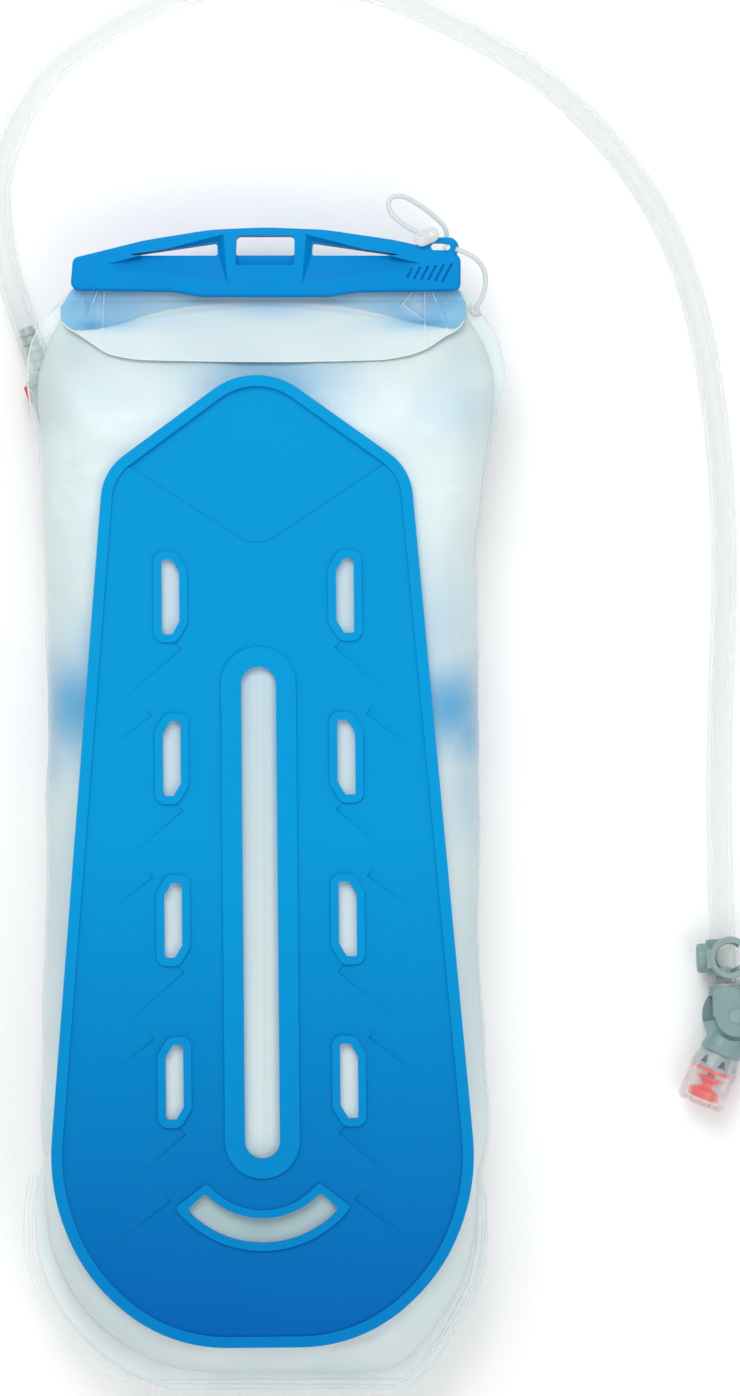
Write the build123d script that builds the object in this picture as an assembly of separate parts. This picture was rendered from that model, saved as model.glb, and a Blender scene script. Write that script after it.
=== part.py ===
from build123d import *
import os
from math import cos, radians, sin, tan

# Hydration bladder lying on its back: +X across the bag, +Y towards its mouth, +Z up.
# The origin is the middle of the bag's footprint, on the surface that it lies on. Millimetres.

os.makedirs("parts", exist_ok=True)

# ---- driving dimensions ------------------------------------------------------------------
BAG_WIDTH = 156.0          # filled body, across
BAG_LENGTH = 399.7         # foot weld to the slider's lower edge
BAG_DEPTH = 56.0           # filled body, floor to front film
FILM = 0.6                 # one film wall
EAR_WIDTH = 174.2          # across the flat weld ears at the shoulders
NECK_DEPTH = 2.0           # neck of the bag where it enters the slider
SHOULDER_LIFT = 16.0       # the underside stays this high over the hose coupling

SLIDER_RISE = 25.3         # slider's lower edge to the top of its arched grip
SLIDER_DEPTH = 14.0        # slider, front to back
SLIDER_WALL = 3.0          # end stop and back wall of the slider
RAIL_LENGTH = 136.0        # stiff rails along the mouth
RAIL_HEIGHT = 6.6          # rails, along Y
CHANNEL_CLEARANCE = 0.3    # rails to channel, each side
STRIP = 0.6                # coloured mouth strip
FLAP = 1.0                 # both films of the folded mouth

PLATE_THICKNESS = 2.2      # backer plate
PLATE_RELIEF = 1.0         # rim and borders over the plate
PLATE_LENGTH = 351.4       # backer plate, tip to foot
PLATE_FOOT_GAP = 19.3      # foot weld to the plate's lower edge
PLATE_TOP_INSET = 22.5     # bag side to plate, at its shoulders
PLATE_LOW_INSET = 0.5      # bag side to plate, at its widest
PLATE_TILT = 0.5           # degrees, as welded
RIM_WIDTH = 4.0
SLOT_WIDTH = 12.6          # long middle slot
SLOT_LENGTH = 177.5
SLOT_BORDER = 7.2
WINDOW_WIDTH = 6.4
WINDOW_HEIGHT = 27.0
WINDOW_PITCH = 58.4        # rows of windows, along Y
WINDOW_OFFSET = 31.5       # middle of the plate to a window's middle
WINDOW_BORDER = 2.9

HOSE_OD = 9.5
HOSE_BORE = 6.4
BARB_CLEARANCE = 0.05      # barb crests to the hose's bore
BARB_LENGTH = 17.0
VALVE_BARB_LENGTH = 6.0    # shorter, so that it ends before the clip's loop
BARB_BORE = 4.0
COUPLING_HEIGHT = 8.2      # axis of the coupling over the floor
COUPLING_OD = 15.0
COUPLING_LENGTH = 21.5
SOCKET_DEPTH = 17.0
NOZZLE_OD = 9.0
NOZZLE_BORE = 6.0
FIT = 0.1                  # nozzle to socket, each side
SEAL_SECTION = 1.1         # O-ring section
PORT_REACH = 38.0          # hose end to the middle of the port
PORT_FLANGE_OD = 24.0
BUTTON_WIDTH = 5.4
BUTTON_LENGTH = 6.4
BUTTON_TRAVEL = 1.2
BUTTON_SETBACK = 1.8       # hose flange to the button
POPPET_TRAVEL = 1.5

VALVE_HEIGHT = 9.3         # axis of the bite valve over the floor
PIVOT_SIDE = 3.8           # pivot beside the hose's axis
PIVOT_DROP = 12.0          # hose end to the pivot
PIVOT_PIN_D = 4.0
FORK_TOP_R = 7.8           # raised disc on the pivot
DRUM_R = 12.0              # round drum that carries the spout
DRUM_CORE_R = 7.2          # drum where it passes the fork's web
DRUM_HEIGHT = 8.4
FORK_PLATE = 2.4
RUNNING = 0.1              # drum to fork plates, each side
SPOUT_ANGLE = 24.5         # degrees, spout from straight, at rest
SPOUT_STOP = 71.5          # degrees, spout from straight, at its far stop
SPOUT_D = 15.2
SPOUT_START = 12.6         # pivot to the spout's round shoulder
MOUTH_START = 15.0         # pivot to the mouthpiece
MOUTH_LENGTH = 20.2
MOUTH_END_D = 18.4
MOUTH_SWELL = 1.5          # sheath's swell over the seal disc
SHEATH_WALL = 1.4
PLUNGER_TRAVEL = 1.5

CLIP_DROP = 9.5            # hose end to the middle of the magnet clip, up the hose
CLIP_LENGTH = 13.2
CLIP_WALL = 1.2
CLIP_FIT = 0.08
RING_BORE = 11.2
RING_WALL = 2.1
RING_THICKNESS = 3.0
MAGNET_D = 8.4
MAGNET_THICKNESS = 2.4
TETHER_D = 1.8

# Route of the hose's axis, from the coupling, round over the bag, down to the bite valve.
HOSE_ROUTE = [
    (-82.2, 161.3, 8.2), (-90.8, 183.7, 8.2), (-97.8, 208.0, 5.6), (-99.0, 236.0, 4.8),
    (-86.5, 264.0, 4.8), (-66.0, 283.5, 4.8), (-22.0, 305.8, 4.8), (29.5, 306.5, 4.8),
    (75.1, 286.5, 4.8), (107.5, 266.2, 4.8), (138.4, 231.8, 4.8), (155.8, 196.8, 4.8),
    (166.2, 145.0, 4.8), (169.0, 88.9, 4.8), (166.6, 30.0, 4.9), (166.4, -18.5, 9.3),
    (168.2, -63.5, 9.3),
]
# Route of the tether's axis, from the film's right ear round the slider's end to its eyelet.
TETHER_ROUTE = [
    (76.6, 182.6, 30.4), (78.9, 188.8, 31.5), (78.8, 195.6, 34.0), (74.8, 201.2, 36.8),
    (69.4, 204.0, 37.7),
]

# ---- levels and stations that follow from them -------------------------------------------
TOTAL_LENGTH = BAG_LENGTH + SLIDER_RISE
FOOT_Y = -TOTAL_LENGTH / 2
MOUTH_Y = FOOT_Y + BAG_LENGTH
TOP_Y = TOTAL_LENGTH / 2
HALF = BAG_WIDTH / 2
EAR = EAR_WIDTH / 2
SEAM_Z = BAG_DEPTH / 2
RAIL_HALF = RAIL_LENGTH / 2
SLIDER_LEFT = -RAIL_HALF - 2.8
SLIDER_RIGHT = RAIL_HALF + CHANNEL_CLEARANCE + SLIDER_WALL
SLIDER_BACK = SEAM_Z - 6.0
SLIDER_FRONT = SLIDER_BACK + SLIDER_DEPTH
RAIL_LOW_Y = MOUTH_Y + 5.4
RAIL_TOP_Y = RAIL_LOW_Y + RAIL_HEIGHT
LIP_TOP_Z = SEAM_Z + FILM
FLAP_Z = LIP_TOP_Z + 0.6
FLAP_TOP_Z = FLAP_Z + FLAP
RAIL_BACK_Z = (SEAM_Z - FILM - 2.1, SEAM_Z - FILM)
RAIL_FRONT_Z = (FLAP_TOP_Z, FLAP_TOP_Z + 1.7)
PLATE_Z = BAG_DEPTH
PLATE_FOOT = FOOT_Y + PLATE_FOOT_GAP
PLATE_MID_Y = PLATE_FOOT + PLATE_LENGTH / 2


def save(shape, name):
    """Writes one node, as the solids that it holds."""
    solids = shape.solids()
    part = solids[0] if len(solids) == 1 else Compound(children=list(solids))
    part.label = name
    export_step(part, f"parts/{name}.step")
    print(name, "solids", len(solids), "volume", round(sum(s.volume for s in solids), 1))
    return shape


def slab(sketch, low, high):
    """A flat outline made solid between two heights."""
    return extrude(Pos(0, 0, low) * sketch, high - low, dir=(0, 0, 1))


def block(x, y, z):
    """A box from its lowest and highest value on each axis."""
    size = [x[1] - x[0], y[1] - y[0], z[1] - z[0]]
    return Pos((x[0] + x[1]) / 2, (y[0] + y[1]) / 2, (z[0] + z[1]) / 2) * Box(*size)


def outline(points, radii):
    """A closed outline through points, each corner rounded to its own radius."""
    sketch = make_face(Polyline(*points, close=True))
    for point, radius in zip(points, radii):
        if radius > 0:
            corner = sketch.vertices().sort_by_distance(Vector(*point, 0))[0]
            sketch = fillet(corner, radius)
    return sketch


def mirrored(points, radii):
    """A right-hand outline, listed from the top down, closed by its mirror image."""
    left = [(-x, y) for x, y in reversed(points)]
    return outline(points + left, radii + list(reversed(radii)))


def turned(profile, plane=Plane.XY):
    """A solid turned about a plane's Z axis from (radius, height) points."""
    face = make_face(Polyline(*[(r, 0, z) for r, z in profile], close=True))
    return plane * revolve(face, Axis.Z)


def route_radii(points):
    """Each corner's arc radius, as large as the two runs beside it allow."""
    radii = []
    for before, here, after in zip(points, points[1:], points[2:]):
        inward = Vector(*here) - Vector(*before)
        onward = Vector(*after) - Vector(*here)
        turn = radians(inward.get_angle(onward))
        radii.append(0.45 * min(inward.length, onward.length) / tan(turn / 2))
    return radii


def route_line(points):
    return FilletPolyline(*points, radius=route_radii(points))


def tube(points, outer, inner=0.0):
    """A round cord or hose along a route of straight runs and tangent arcs."""
    path = route_line(points)
    start = Plane(origin=path @ 0, z_dir=path % 0)
    solid = sweep(start * Circle(outer / 2), path=path)
    if inner:
        solid -= sweep(start * Circle(inner / 2), path=path)
    radii = [round(r) for r in route_radii(points)]
    section = 3.14159265 * (outer**2 - inner**2) / 4
    share = solid.volume / (section * path.length)
    print("route", round(path.length, 1), "mm, radii", radii, "volume share", round(share, 4))
    return solid


# ---- film bag ----------------------------------------------------------------------------
def bag_body(inset):
    """The filled body, drawn in by inset on every side, as a ruled shell of sections."""
    # station along Y, half width, underside, top, corner radius
    stations = [
        (MOUTH_Y - 1.2, RAIL_HALF + 2.0, SEAM_Z - NECK_DEPTH / 2, SEAM_Z + NECK_DEPTH / 2, 0.95),
        (MOUTH_Y - 17.0, HALF - 2.0, SEAM_Z - 9.5, SEAM_Z + 12.0, 8.0),
        (MOUTH_Y - 36.0, HALF + 1.6, SHOULDER_LIFT + 0.8, BAG_DEPTH - 4.5, 13.0),
        (MOUTH_Y - 54.0, HALF + 0.6, SHOULDER_LIFT, BAG_DEPTH, 16.0),
        (MOUTH_Y - 76.0, HALF - 0.2, SHOULDER_LIFT, BAG_DEPTH, 17.0),
        (MOUTH_Y - 108.0, HALF - 0.4, 0.0, BAG_DEPTH, 20.0),
        (MOUTH_Y - 187.0, HALF, 0.0, BAG_DEPTH, 20.0),
        (FOOT_Y + 112.0, HALF - 0.2, 0.0, BAG_DEPTH, 20.0),
        (FOOT_Y + 60.0, HALF + 0.6, 0.0, BAG_DEPTH, 20.0),
        (FOOT_Y + 34.0, HALF - 6.5, 0.0, BAG_DEPTH, 19.0),
        (FOOT_Y + 19.0, HALF - 20.0, 3.5, BAG_DEPTH - 3.5, 17.0),
        (FOOT_Y + 8.0, HALF - 33.0, 11.5, BAG_DEPTH - 11.5, 12.0),
        (FOOT_Y + 3.0, HALF - 40.0, SEAM_Z - 5.0, SEAM_Z + 5.0, 4.6),
    ]
    faces = []
    for at, half, low, high, corner in stations:
        if at == stations[0][0]:
            at -= inset
        if at == stations[-1][0]:
            at += inset
        frame = Plane(origin=(0, at, (low + high) / 2), x_dir=(1, 0, 0), z_dir=(0, 1, 0))
        width, depth = 2 * (half - inset), high - low - 2 * inset
        faces.append(frame * RectangleRounded(width, depth, min(corner - inset, depth / 2 - 0.05)))
    return loft(faces, ruled=True)


def weld_outline():
    """Outer edge of the two films, with the flat weld ears at shoulders and foot."""
    right = [
        (RAIL_HALF + 5.4, MOUTH_Y + 1.2), (EAR + 0.8, MOUTH_Y - 16.0), (EAR + 0.8, MOUTH_Y - 42.0),
        (HALF + 1.3, MOUTH_Y - 59.0), (HALF + 1.2, FOOT_Y + 97.0), (HALF + 5.2, FOOT_Y + 80.0),
        (HALF + 5.0, FOOT_Y + 52.0), (HALF - 11.0, FOOT_Y + 13.0), (HALF - 32.0, FOOT_Y),
    ]
    return mirrored(right, [1.5, 16.0, 14.0, 18.0, 14.0, 10.0, 16.0, 12.0, 24.0])


outer_body = bag_body(0.0)
inner_body = bag_body(FILM)
weld = weld_outline()
shell = outer_body - inner_body
big = 2 * TOTAL_LENGTH
upper_half = block((-big, big), (-big, big), (SEAM_Z, SEAM_Z + big))
lower_half = block((-big, big), (-big, big), (SEAM_Z - big, SEAM_Z))
lip_x = (-RAIL_HALF + 1.5, RAIL_HALF - 1.5)
lip_y = (MOUTH_Y - 1.4, RAIL_TOP_Y)
front_lip = block(lip_x, lip_y, (SEAM_Z, LIP_TOP_Z))
back_lip = block(lip_x, lip_y, (SEAM_Z - FILM, SEAM_Z))
front_film = (shell & upper_half) + (slab(weld, SEAM_Z, LIP_TOP_Z) - inner_body) + front_lip
back_film = (shell & lower_half) + (slab(weld, SEAM_Z - FILM, SEAM_Z) - inner_body) + back_lip

# Middle baffle that keeps the filled bag flat, welded to both films.
BAFFLE = 0.8
baffle_y = (FOOT_Y + 80.0, FOOT_Y + 268.0)
center_baffle = block((-1.4 - BAFFLE / 2, -1.4 + BAFFLE / 2), baffle_y, (FILM, BAG_DEPTH - FILM))

# ---- hose coupling frame: origin at the hose's end, Z' along the hose, X' outwards --------
hose_start = Vector(*HOSE_ROUTE[0])
hose_out = (Vector(*HOSE_ROUTE[1]) - hose_start).normalized()
out_side = Vector(-hose_out.Y, hose_out.X, 0)
COUPLING = Plane(origin=hose_start, x_dir=out_side, z_dir=hose_out)
port_centre = hose_start - hose_out * PORT_REACH

# ---- port on the underside of the left shoulder -------------------------------------------
ELBOW_R = NOZZLE_OD / 2 + 1.4
elbow_low = COUPLING_HEIGHT - ELBOW_R
flange_low = COUPLING_HEIGHT + ELBOW_R + 0.2
flange_top = SHOULDER_LIFT + 2.6
at_port = Pos(port_centre.X, port_centre.Y, 0)
flange = at_port * Pos(0, 0, flange_low) * Cylinder(
    PORT_FLANGE_OD / 2, flange_top - flange_low, align=(Align.CENTER, Align.CENTER, Align.MIN))
flange -= outer_body
flange = flange.solids().sort_by(SortBy.VOLUME)[-1]
riser = at_port * Pos(0, 0, elbow_low) * Cylinder(
    ELBOW_R, flange_low + 0.4 - elbow_low, align=(Align.CENTER, Align.CENTER, Align.MIN))
NOZZLE_TIP = -(COUPLING_LENGTH + 1.5 - SOCKET_DEPTH) - 1.5
nozzle_r = NOZZLE_OD / 2
seal_at = NOZZLE_TIP - 4.5
groove_r = nozzle_r - SEAL_SECTION + 0.05
nozzle = turned(
    [
        (0, NOZZLE_TIP), (nozzle_r - 0.6, NOZZLE_TIP), (nozzle_r, NOZZLE_TIP - 0.8),
        (nozzle_r, seal_at + 0.75), (groove_r, seal_at + 0.75), (groove_r, seal_at - 0.75),
        (nozzle_r, seal_at - 0.75), (nozzle_r, -COUPLING_LENGTH - 2.3),
        (ELBOW_R, -COUPLING_LENGTH - 3.6), (ELBOW_R, -PORT_REACH), (0, -PORT_REACH),
    ],
    COUPLING,
)
bore_r = NOZZLE_BORE / 2
seat_at = NOZZLE_TIP - 2.0
nozzle_way = turned(
    [
        (0, NOZZLE_TIP + 1), (bore_r - 1.0, NOZZLE_TIP + 1), (bore_r - 1.0, seat_at),
        (bore_r, seat_at - 0.6), (bore_r, -PORT_REACH), (0, -PORT_REACH),
    ],
    COUPLING,
)
riser_way = at_port * Pos(0, 0, COUPLING_HEIGHT - bore_r) * Cylinder(
    bore_r, BAG_DEPTH / 2 - COUPLING_HEIGHT, align=(Align.CENTER, Align.CENTER, Align.MIN))
port_base = flange + riser + nozzle - nozzle_way - riser_way
back_film -= riser_way
PORT_SPHERE = turned([(0, -PORT_REACH + bore_r), (bore_r, -PORT_REACH), (0, -PORT_REACH - bore_r)],
                     COUPLING)
port_base -= PORT_SPHERE

seal_major = nozzle_r + FIT - 0.05 - SEAL_SECTION / 2
port_seal = COUPLING * Pos(0, 0, seal_at) * Torus(seal_major, SEAL_SECTION / 2)

# Spring-loaded poppet that shuts the port when the hose is pulled off.
head_at = seat_at - 0.6 - POPPET_TRAVEL - 0.4
POPPET_R = bore_r - 0.3
STEM_R = 1.0
poppet_end = head_at - 9.0
port_poppet = turned(
    [
        (0, head_at + 1.0), (POPPET_R - 1.0, head_at + 1.0), (POPPET_R, head_at),
        (POPPET_R, head_at - 1.0), (STEM_R, head_at - 1.0), (STEM_R, poppet_end), (0, poppet_end),
    ],
    COUPLING,
)
guide_top = head_at - 6.6
poppet_guide = turned(
    [
        (STEM_R + 0.1, guide_top), (bore_r - 0.05, guide_top), (bore_r - 0.05, guide_top - 1.4),
        (STEM_R + 0.1, guide_top - 1.4),
    ],
    COUPLING,
)
for k in range(3):
    slot_hole = Rot(0, 0, 120 * k) * Pos(2.0, 0, guide_top - 0.7) * Cylinder(0.6, 3)
    poppet_guide -= COUPLING * slot_hole
SPRING_WIRE = 0.35
spring_low, spring_high = guide_top + 0.25, head_at - 1.25
coil = Helix(pitch=1.1, height=spring_high - spring_low, radius=1.9)
coil_start = Plane(origin=coil @ 0, z_dir=coil % 0)
poppet_spring = COUPLING * Pos(0, 0, spring_low) * sweep(
    coil_start * Circle(SPRING_WIRE / 2), path=coil, is_frenet=True)


# ---- quick-release coupling on the hose ---------------------------------------------------
def barb(plane, length, ribs, flange_r, flange_thickness):
    """Ribbed stem inside the hose, with the flange that the hose's end stops on."""
    crest = HOSE_BORE / 2 - BARB_CLEARANCE
    root = crest - 0.45
    profile = [(BARB_BORE / 2, -flange_thickness), (flange_r, -flange_thickness), (flange_r, 0)]
    profile += [(root, 0)]
    pitch = (length - 1.0) / ribs
    for k in range(ribs):
        at = 1.0 + k * pitch
        profile += [(root, at), (crest, at), (crest, at + 0.5), (root, at + pitch - 0.4)]
    profile += [(root - 0.3, length), (BARB_BORE / 2, length)]
    return turned(profile, plane)


FLANGE_THICKNESS = 1.5
hose_barb = barb(COUPLING, BARB_LENGTH, 5, HOSE_OD / 2 + 0.6, FLANGE_THICKNESS)
body_r = COUPLING_OD / 2
socket_r = nozzle_r + FIT
body_low = -FLANGE_THICKNESS - COUPLING_LENGTH
socket_end = body_low + SOCKET_DEPTH
coupling_body = turned(
    [
        (BARB_BORE / 2, -FLANGE_THICKNESS), (body_r - 1.3, -FLANGE_THICKNESS),
        (body_r - 0.3, -FLANGE_THICKNESS - 0.8), (body_r - 0.3, -FLANGE_THICKNESS - 2.6),
        (body_r - 1.1, -FLANGE_THICKNESS - 3.2), (body_r - 1.1, -FLANGE_THICKNESS - 4.0),
        (body_r, -FLANGE_THICKNESS - 4.8), (body_r, body_low + 1.2), (body_r - 1.2, body_low),
        (socket_r + 0.5, body_low), (socket_r, body_low + 0.5), (socket_r, socket_end),
        (BARB_BORE / 2, socket_end + 0.8),
    ],
    COUPLING,
)
button_mid = -FLANGE_THICKNESS - BUTTON_SETBACK - BUTTON_LENGTH / 2
POCKET_GAP = 0.15
pocket_floor = socket_r + 0.8
button_in = pocket_floor + BUTTON_TRAVEL + 0.3
button_out = body_r + 0.9
pocket = COUPLING * block(
    (pocket_floor, body_r + 2), (-BUTTON_WIDTH / 2 - POCKET_GAP, BUTTON_WIDTH / 2 + POCKET_GAP),
    (button_mid - BUTTON_LENGTH / 2 - POCKET_GAP, button_mid + BUTTON_LENGTH / 2 + POCKET_GAP))
coupling_body -= pocket
button = block((button_in, button_out), (-BUTTON_WIDTH / 2, BUTTON_WIDTH / 2),
               (button_mid - BUTTON_LENGTH / 2, button_mid + BUTTON_LENGTH / 2))
button = fillet(button.edges().group_by(Axis.X)[-1], 0.7)
release_button = COUPLING * button
leaf_half = BUTTON_LENGTH / 2 - 0.3
leaf_line = Polyline(
    (pocket_floor + 0.2, button_mid - leaf_half), (button_in - 0.25, button_mid - 0.8),
    (button_in - 0.25, button_mid + 0.8), (pocket_floor + 0.2, button_mid + leaf_half))
leaf_face = trace(leaf_line, 0.25)
leaf_plane = Plane(origin=(0, 0, 0), x_dir=(1, 0, 0), z_dir=(0, -1, 0))
button_spring = COUPLING * extrude(leaf_plane * leaf_face, 1.8, both=True)

hose = tube(HOSE_ROUTE, HOSE_OD, HOSE_BORE)

# ---- bite valve ---------------------------------------------------------------------------
hose_end = Vector(*HOSE_ROUTE[-1])
back_up = (Vector(*HOSE_ROUTE[-2]) - hose_end).normalized()
valve_right = Vector(back_up.Y, -back_up.X, 0)
VALVE = Plane(origin=hose_end, x_dir=valve_right, z_dir=Vector(0, 0, 1))
pivot = hose_end + valve_right * PIVOT_SIDE - back_up * PIVOT_DROP
at_pivot = Pos(pivot.X, pivot.Y, 0)
drum_low = VALVE_HEIGHT - DRUM_HEIGHT / 2
drum_high = VALVE_HEIGHT + DRUM_HEIGHT / 2
valve_barb = barb(Plane(origin=hose_end, x_dir=valve_right, z_dir=back_up), VALVE_BARB_LENGTH, 2,
                  HOSE_OD / 2 + 0.4, 1.2)


def disc(radius, low, high):
    return at_pivot * Pos(0, 0, low) * Cylinder(
        radius, high - low, align=(Align.CENTER, Align.CENTER, Align.MIN))


# Fork: collar behind the hose's end, and one plate above and one below the drum.
plate_low = (drum_low - RUNNING - FORK_PLATE, drum_low - RUNNING)
plate_high = (drum_high + RUNNING, drum_high + RUNNING + FORK_PLATE)
web_reach = PIVOT_DROP - DRUM_CORE_R - 0.4
collar_y = (-web_reach, -1.2)
web_local = block((-5.6, 5.6), collar_y, (plate_low[0] - VALVE_HEIGHT, plate_high[1] - VALVE_HEIGHT))
web_local = fillet(web_local.edges().filter_by(Axis.Y), 2.4)
arms_local = block((-4.6, 5.4), (-PIVOT_DROP, -2.0),
                   (plate_low[0] - VALVE_HEIGHT, plate_high[1] - VALVE_HEIGHT))
web = VALVE * (web_local + arms_local)
top_disc = disc(FORK_TOP_R, *plate_high)
top_disc = fillet(top_disc.edges().group_by(Axis.Z)[-1], 0.8)
low_disc = disc(DRUM_R, *plate_low)
low_disc = fillet(low_disc.edges().group_by(Axis.Z)[0], 1.2)
low_disc -= VALVE * block((-20, 20), (-1.2, 20), (-20, 20))
valve_body = web - disc(DRUM_CORE_R + 0.4, plate_low[1], plate_high[0])
valve_body -= disc(DRUM_R + 0.4, plate_low[1], plate_high[0]) & (
    VALVE * block((-20, 20), (-PIVOT_DROP - 20, -web_reach - 0.01), (-20, 20)))
valve_body = valve_body + top_disc + low_disc
waterway = Plane(origin=hose_end, x_dir=valve_right, z_dir=back_up) * Pos(0, 0, -6) * Cylinder(
    BARB_BORE / 2, 12)
pin_r = PIVOT_PIN_D / 2
pin_hole = disc(pin_r + 0.02, plate_low[0] - 1, plate_high[1] + 1)
valve_body = valve_body - waterway - pin_hole
pivot_pin = disc(pin_r, plate_low[0] + 0.3, plate_high[1]) + disc(pin_r + 0.6, plate_high[1],
                                                                 plate_high[1] + 0.5)

# Drum and spout, turning on the pin. U points down the spout.
spout_turn = radians(SPOUT_ANGLE)
spout_dir = (-back_up) * cos(spout_turn) - valve_right * sin(spout_turn)
spout_side = Vector(-spout_dir.Y, spout_dir.X, 0)
SPOUT = Plane(origin=Vector(pivot.X, pivot.Y, VALVE_HEIGHT), x_dir=spout_side, z_dir=spout_dir)
LEFT_REACH, RIGHT_REACH = 57.0, 150.0


def polar(radius, angle):
    """A point at an angle from the spout, positive to its right-hand side seen from above."""
    turn = radians(angle)
    step = spout_dir * cos(turn) + spout_side * sin(turn)
    return (pivot.X + radius * step.X, pivot.Y + radius * step.Y)


def sector(radius, first, last, low, high):
    """A pie slice about the pivot, from one angle to another."""
    count = 7
    rim = [polar(radius, first + (last - first) * k / (count - 1)) for k in range(count)]
    return slab(make_face(Polyline((pivot.X, pivot.Y), *rim, close=True)), low, high)


cut_out = sector(3 * DRUM_R, RIGHT_REACH, 360 - LEFT_REACH, drum_low - 1, drum_high + 1)
drum = disc(DRUM_R, drum_low, drum_high) - cut_out + disc(DRUM_CORE_R, drum_low, drum_high)
neck = SPOUT * Pos(0, 0, (SPOUT_START + 5) / 2) * Box(13.4, DRUM_HEIGHT, SPOUT_START - 5 + 1.0)
spout_r = SPOUT_D / 2
shoulder = turned([(0, SPOUT_START), (spout_r, SPOUT_START), (spout_r, MOUTH_START),
                   (5.4, MOUTH_START), (5.4, MOUTH_START + 2.0), (0, MOUTH_START + 2.0)], SPOUT)
thick = turned([(0, 3.0), (5.8, 3.0), (spout_r - 0.3, SPOUT_START), (spout_r - 0.3, SPOUT_START + 0.5),
                (0, SPOUT_START + 0.5)], SPOUT)
thick &= block((-big, big), (-big, big), (VALVE_HEIGHT, big))
thick -= disc(FORK_TOP_R + 1.4, drum_low - 1, VALVE_HEIGHT + 20)
thick -= disc(DRUM_R, drum_low - 1, drum_low)
spout = drum + neck + shoulder + thick
chamber = disc(DRUM_CORE_R - 1.4, VALVE_HEIGHT - 2.3, VALVE_HEIGHT + 2.3)
chamber -= disc(pin_r + 1.1, drum_low, drum_high)
way_in = sector(DRUM_CORE_R + 3, 180 - SPOUT_ANGLE - 12, 180 + SPOUT_STOP - SPOUT_ANGLE + 12,
                VALVE_HEIGHT - 1.9, VALVE_HEIGHT + 1.9) - disc(pin_r + 1.1, drum_low, drum_high)
way_in &= disc(DRUM_CORE_R + 2, drum_low, drum_high)
way_out = SPOUT * Pos(0, 0, 4 + 8) * Cylinder(2.2, 16) - disc(pin_r + 1.1, drum_low, drum_high)
spout = spout - chamber - way_in - way_out - disc(pin_r + 0.05, drum_low - 1, drum_high + 1)

# Mouthpiece: ported collar, seal disc, plunger and the clear bite sheath over them.
sheath_end = MOUTH_START + MOUTH_LENGTH
end_r = MOUTH_END_D / 2
start_r = spout_r - 0.1
swell_at = MOUTH_START + 5.8
SHEATH_MARKS = [(MOUTH_START, start_r), (swell_at, start_r + MOUTH_SWELL),
                (MOUTH_START + 9.6, start_r + MOUTH_SWELL - 0.35), (sheath_end, end_r)]


def sheath_r(at):
    """Outer radius of the sheath at a distance from the pivot: it swells over the seal disc."""
    for (low, low_r), (high, high_r) in zip(SHEATH_MARKS, SHEATH_MARKS[1:]):
        if at <= high:
            return low_r + (high_r - low_r) * (at - low) / (high - low)
    return end_r


def inner_r(at):
    """Inner radius of the sheath at a distance from the pivot."""
    return sheath_r(at) - SHEATH_WALL


LIP_HOLE_R = 4.2
waist_at = SHEATH_MARKS[2][0]
bite_sheath = turned(
    [
        (inner_r(MOUTH_START), MOUTH_START + 0.05), (start_r, MOUTH_START + 0.05),
        (sheath_r(swell_at), swell_at), (sheath_r(waist_at), waist_at),
        (sheath_r(sheath_end - 1.8), sheath_end - 1.8), (sheath_r(sheath_end) - 1.4, sheath_end),
        (LIP_HOLE_R + 0.5, sheath_end), (LIP_HOLE_R, sheath_end - 0.6),
        (LIP_HOLE_R, sheath_end - 1.7), (sheath_r(sheath_end) - 1.9, sheath_end - 1.8),
        (inner_r(sheath_end - 2.6), sheath_end - 2.6), (inner_r(waist_at), waist_at),
        (inner_r(swell_at), swell_at),
    ],
    SPOUT,
)
collar_end = MOUTH_START + 6.4
COLLAR_WALL, COLLAR_FIT = 1.2, 0.05
valve_collar = turned(
    [
        (5.45, MOUTH_START + 0.05), (inner_r(MOUTH_START) - COLLAR_FIT, MOUTH_START + 0.05),
        (inner_r(swell_at) - COLLAR_FIT, swell_at),
        (inner_r(collar_end) - COLLAR_FIT, collar_end), (1.75, collar_end),
        (1.75, collar_end - 1.0), (inner_r(collar_end) - COLLAR_WALL, collar_end - 1.2),
        (inner_r(MOUTH_START + 2.1) - COLLAR_WALL, MOUTH_START + 2.1), (5.45, MOUTH_START + 2.1),
    ],
    SPOUT,
)
PORTS = 6
port_from, port_to = MOUTH_START + 2.4, collar_end - 1.3
for k in range(PORTS):
    port_cut = loft([
        Pos(0, 0, port_from) * Pos(inner_r(port_from), 0, 0) * Rectangle(4, 0.9),
        Pos(0, 0, port_to) * Pos(inner_r(port_to), 0, 0) * Rectangle(4, 3.2),
    ])
    valve_collar -= SPOUT * Rot(0, 0, 360 * k / PORTS + 12) * port_cut
disc_low = collar_end + 0.02
disc_r = inner_r(disc_low + 1.3) - 0.1
seal_disc = turned([(2.0, disc_low), (disc_r, disc_low), (disc_r, disc_low + 1.3),
                    (2.0, disc_low + 1.3)], SPOUT)
flare_at = disc_low + 1.3 + PLUNGER_TRAVEL + 0.4
foot_end = sheath_end - 2.3
plunger = turned(
    [
        (0, collar_end - 2.4), (1.6, collar_end - 2.4), (1.6, flare_at), (5.0, flare_at),
        (4.6, flare_at + 1.0), (2.2, flare_at + 2.2), (2.1, foot_end - 4.6), (4.4, foot_end - 3.8),
        (5.8, foot_end - 3.2), (5.8, foot_end - 0.8), (5.0, foot_end), (0, foot_end),
    ],
    SPOUT,
)

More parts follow.
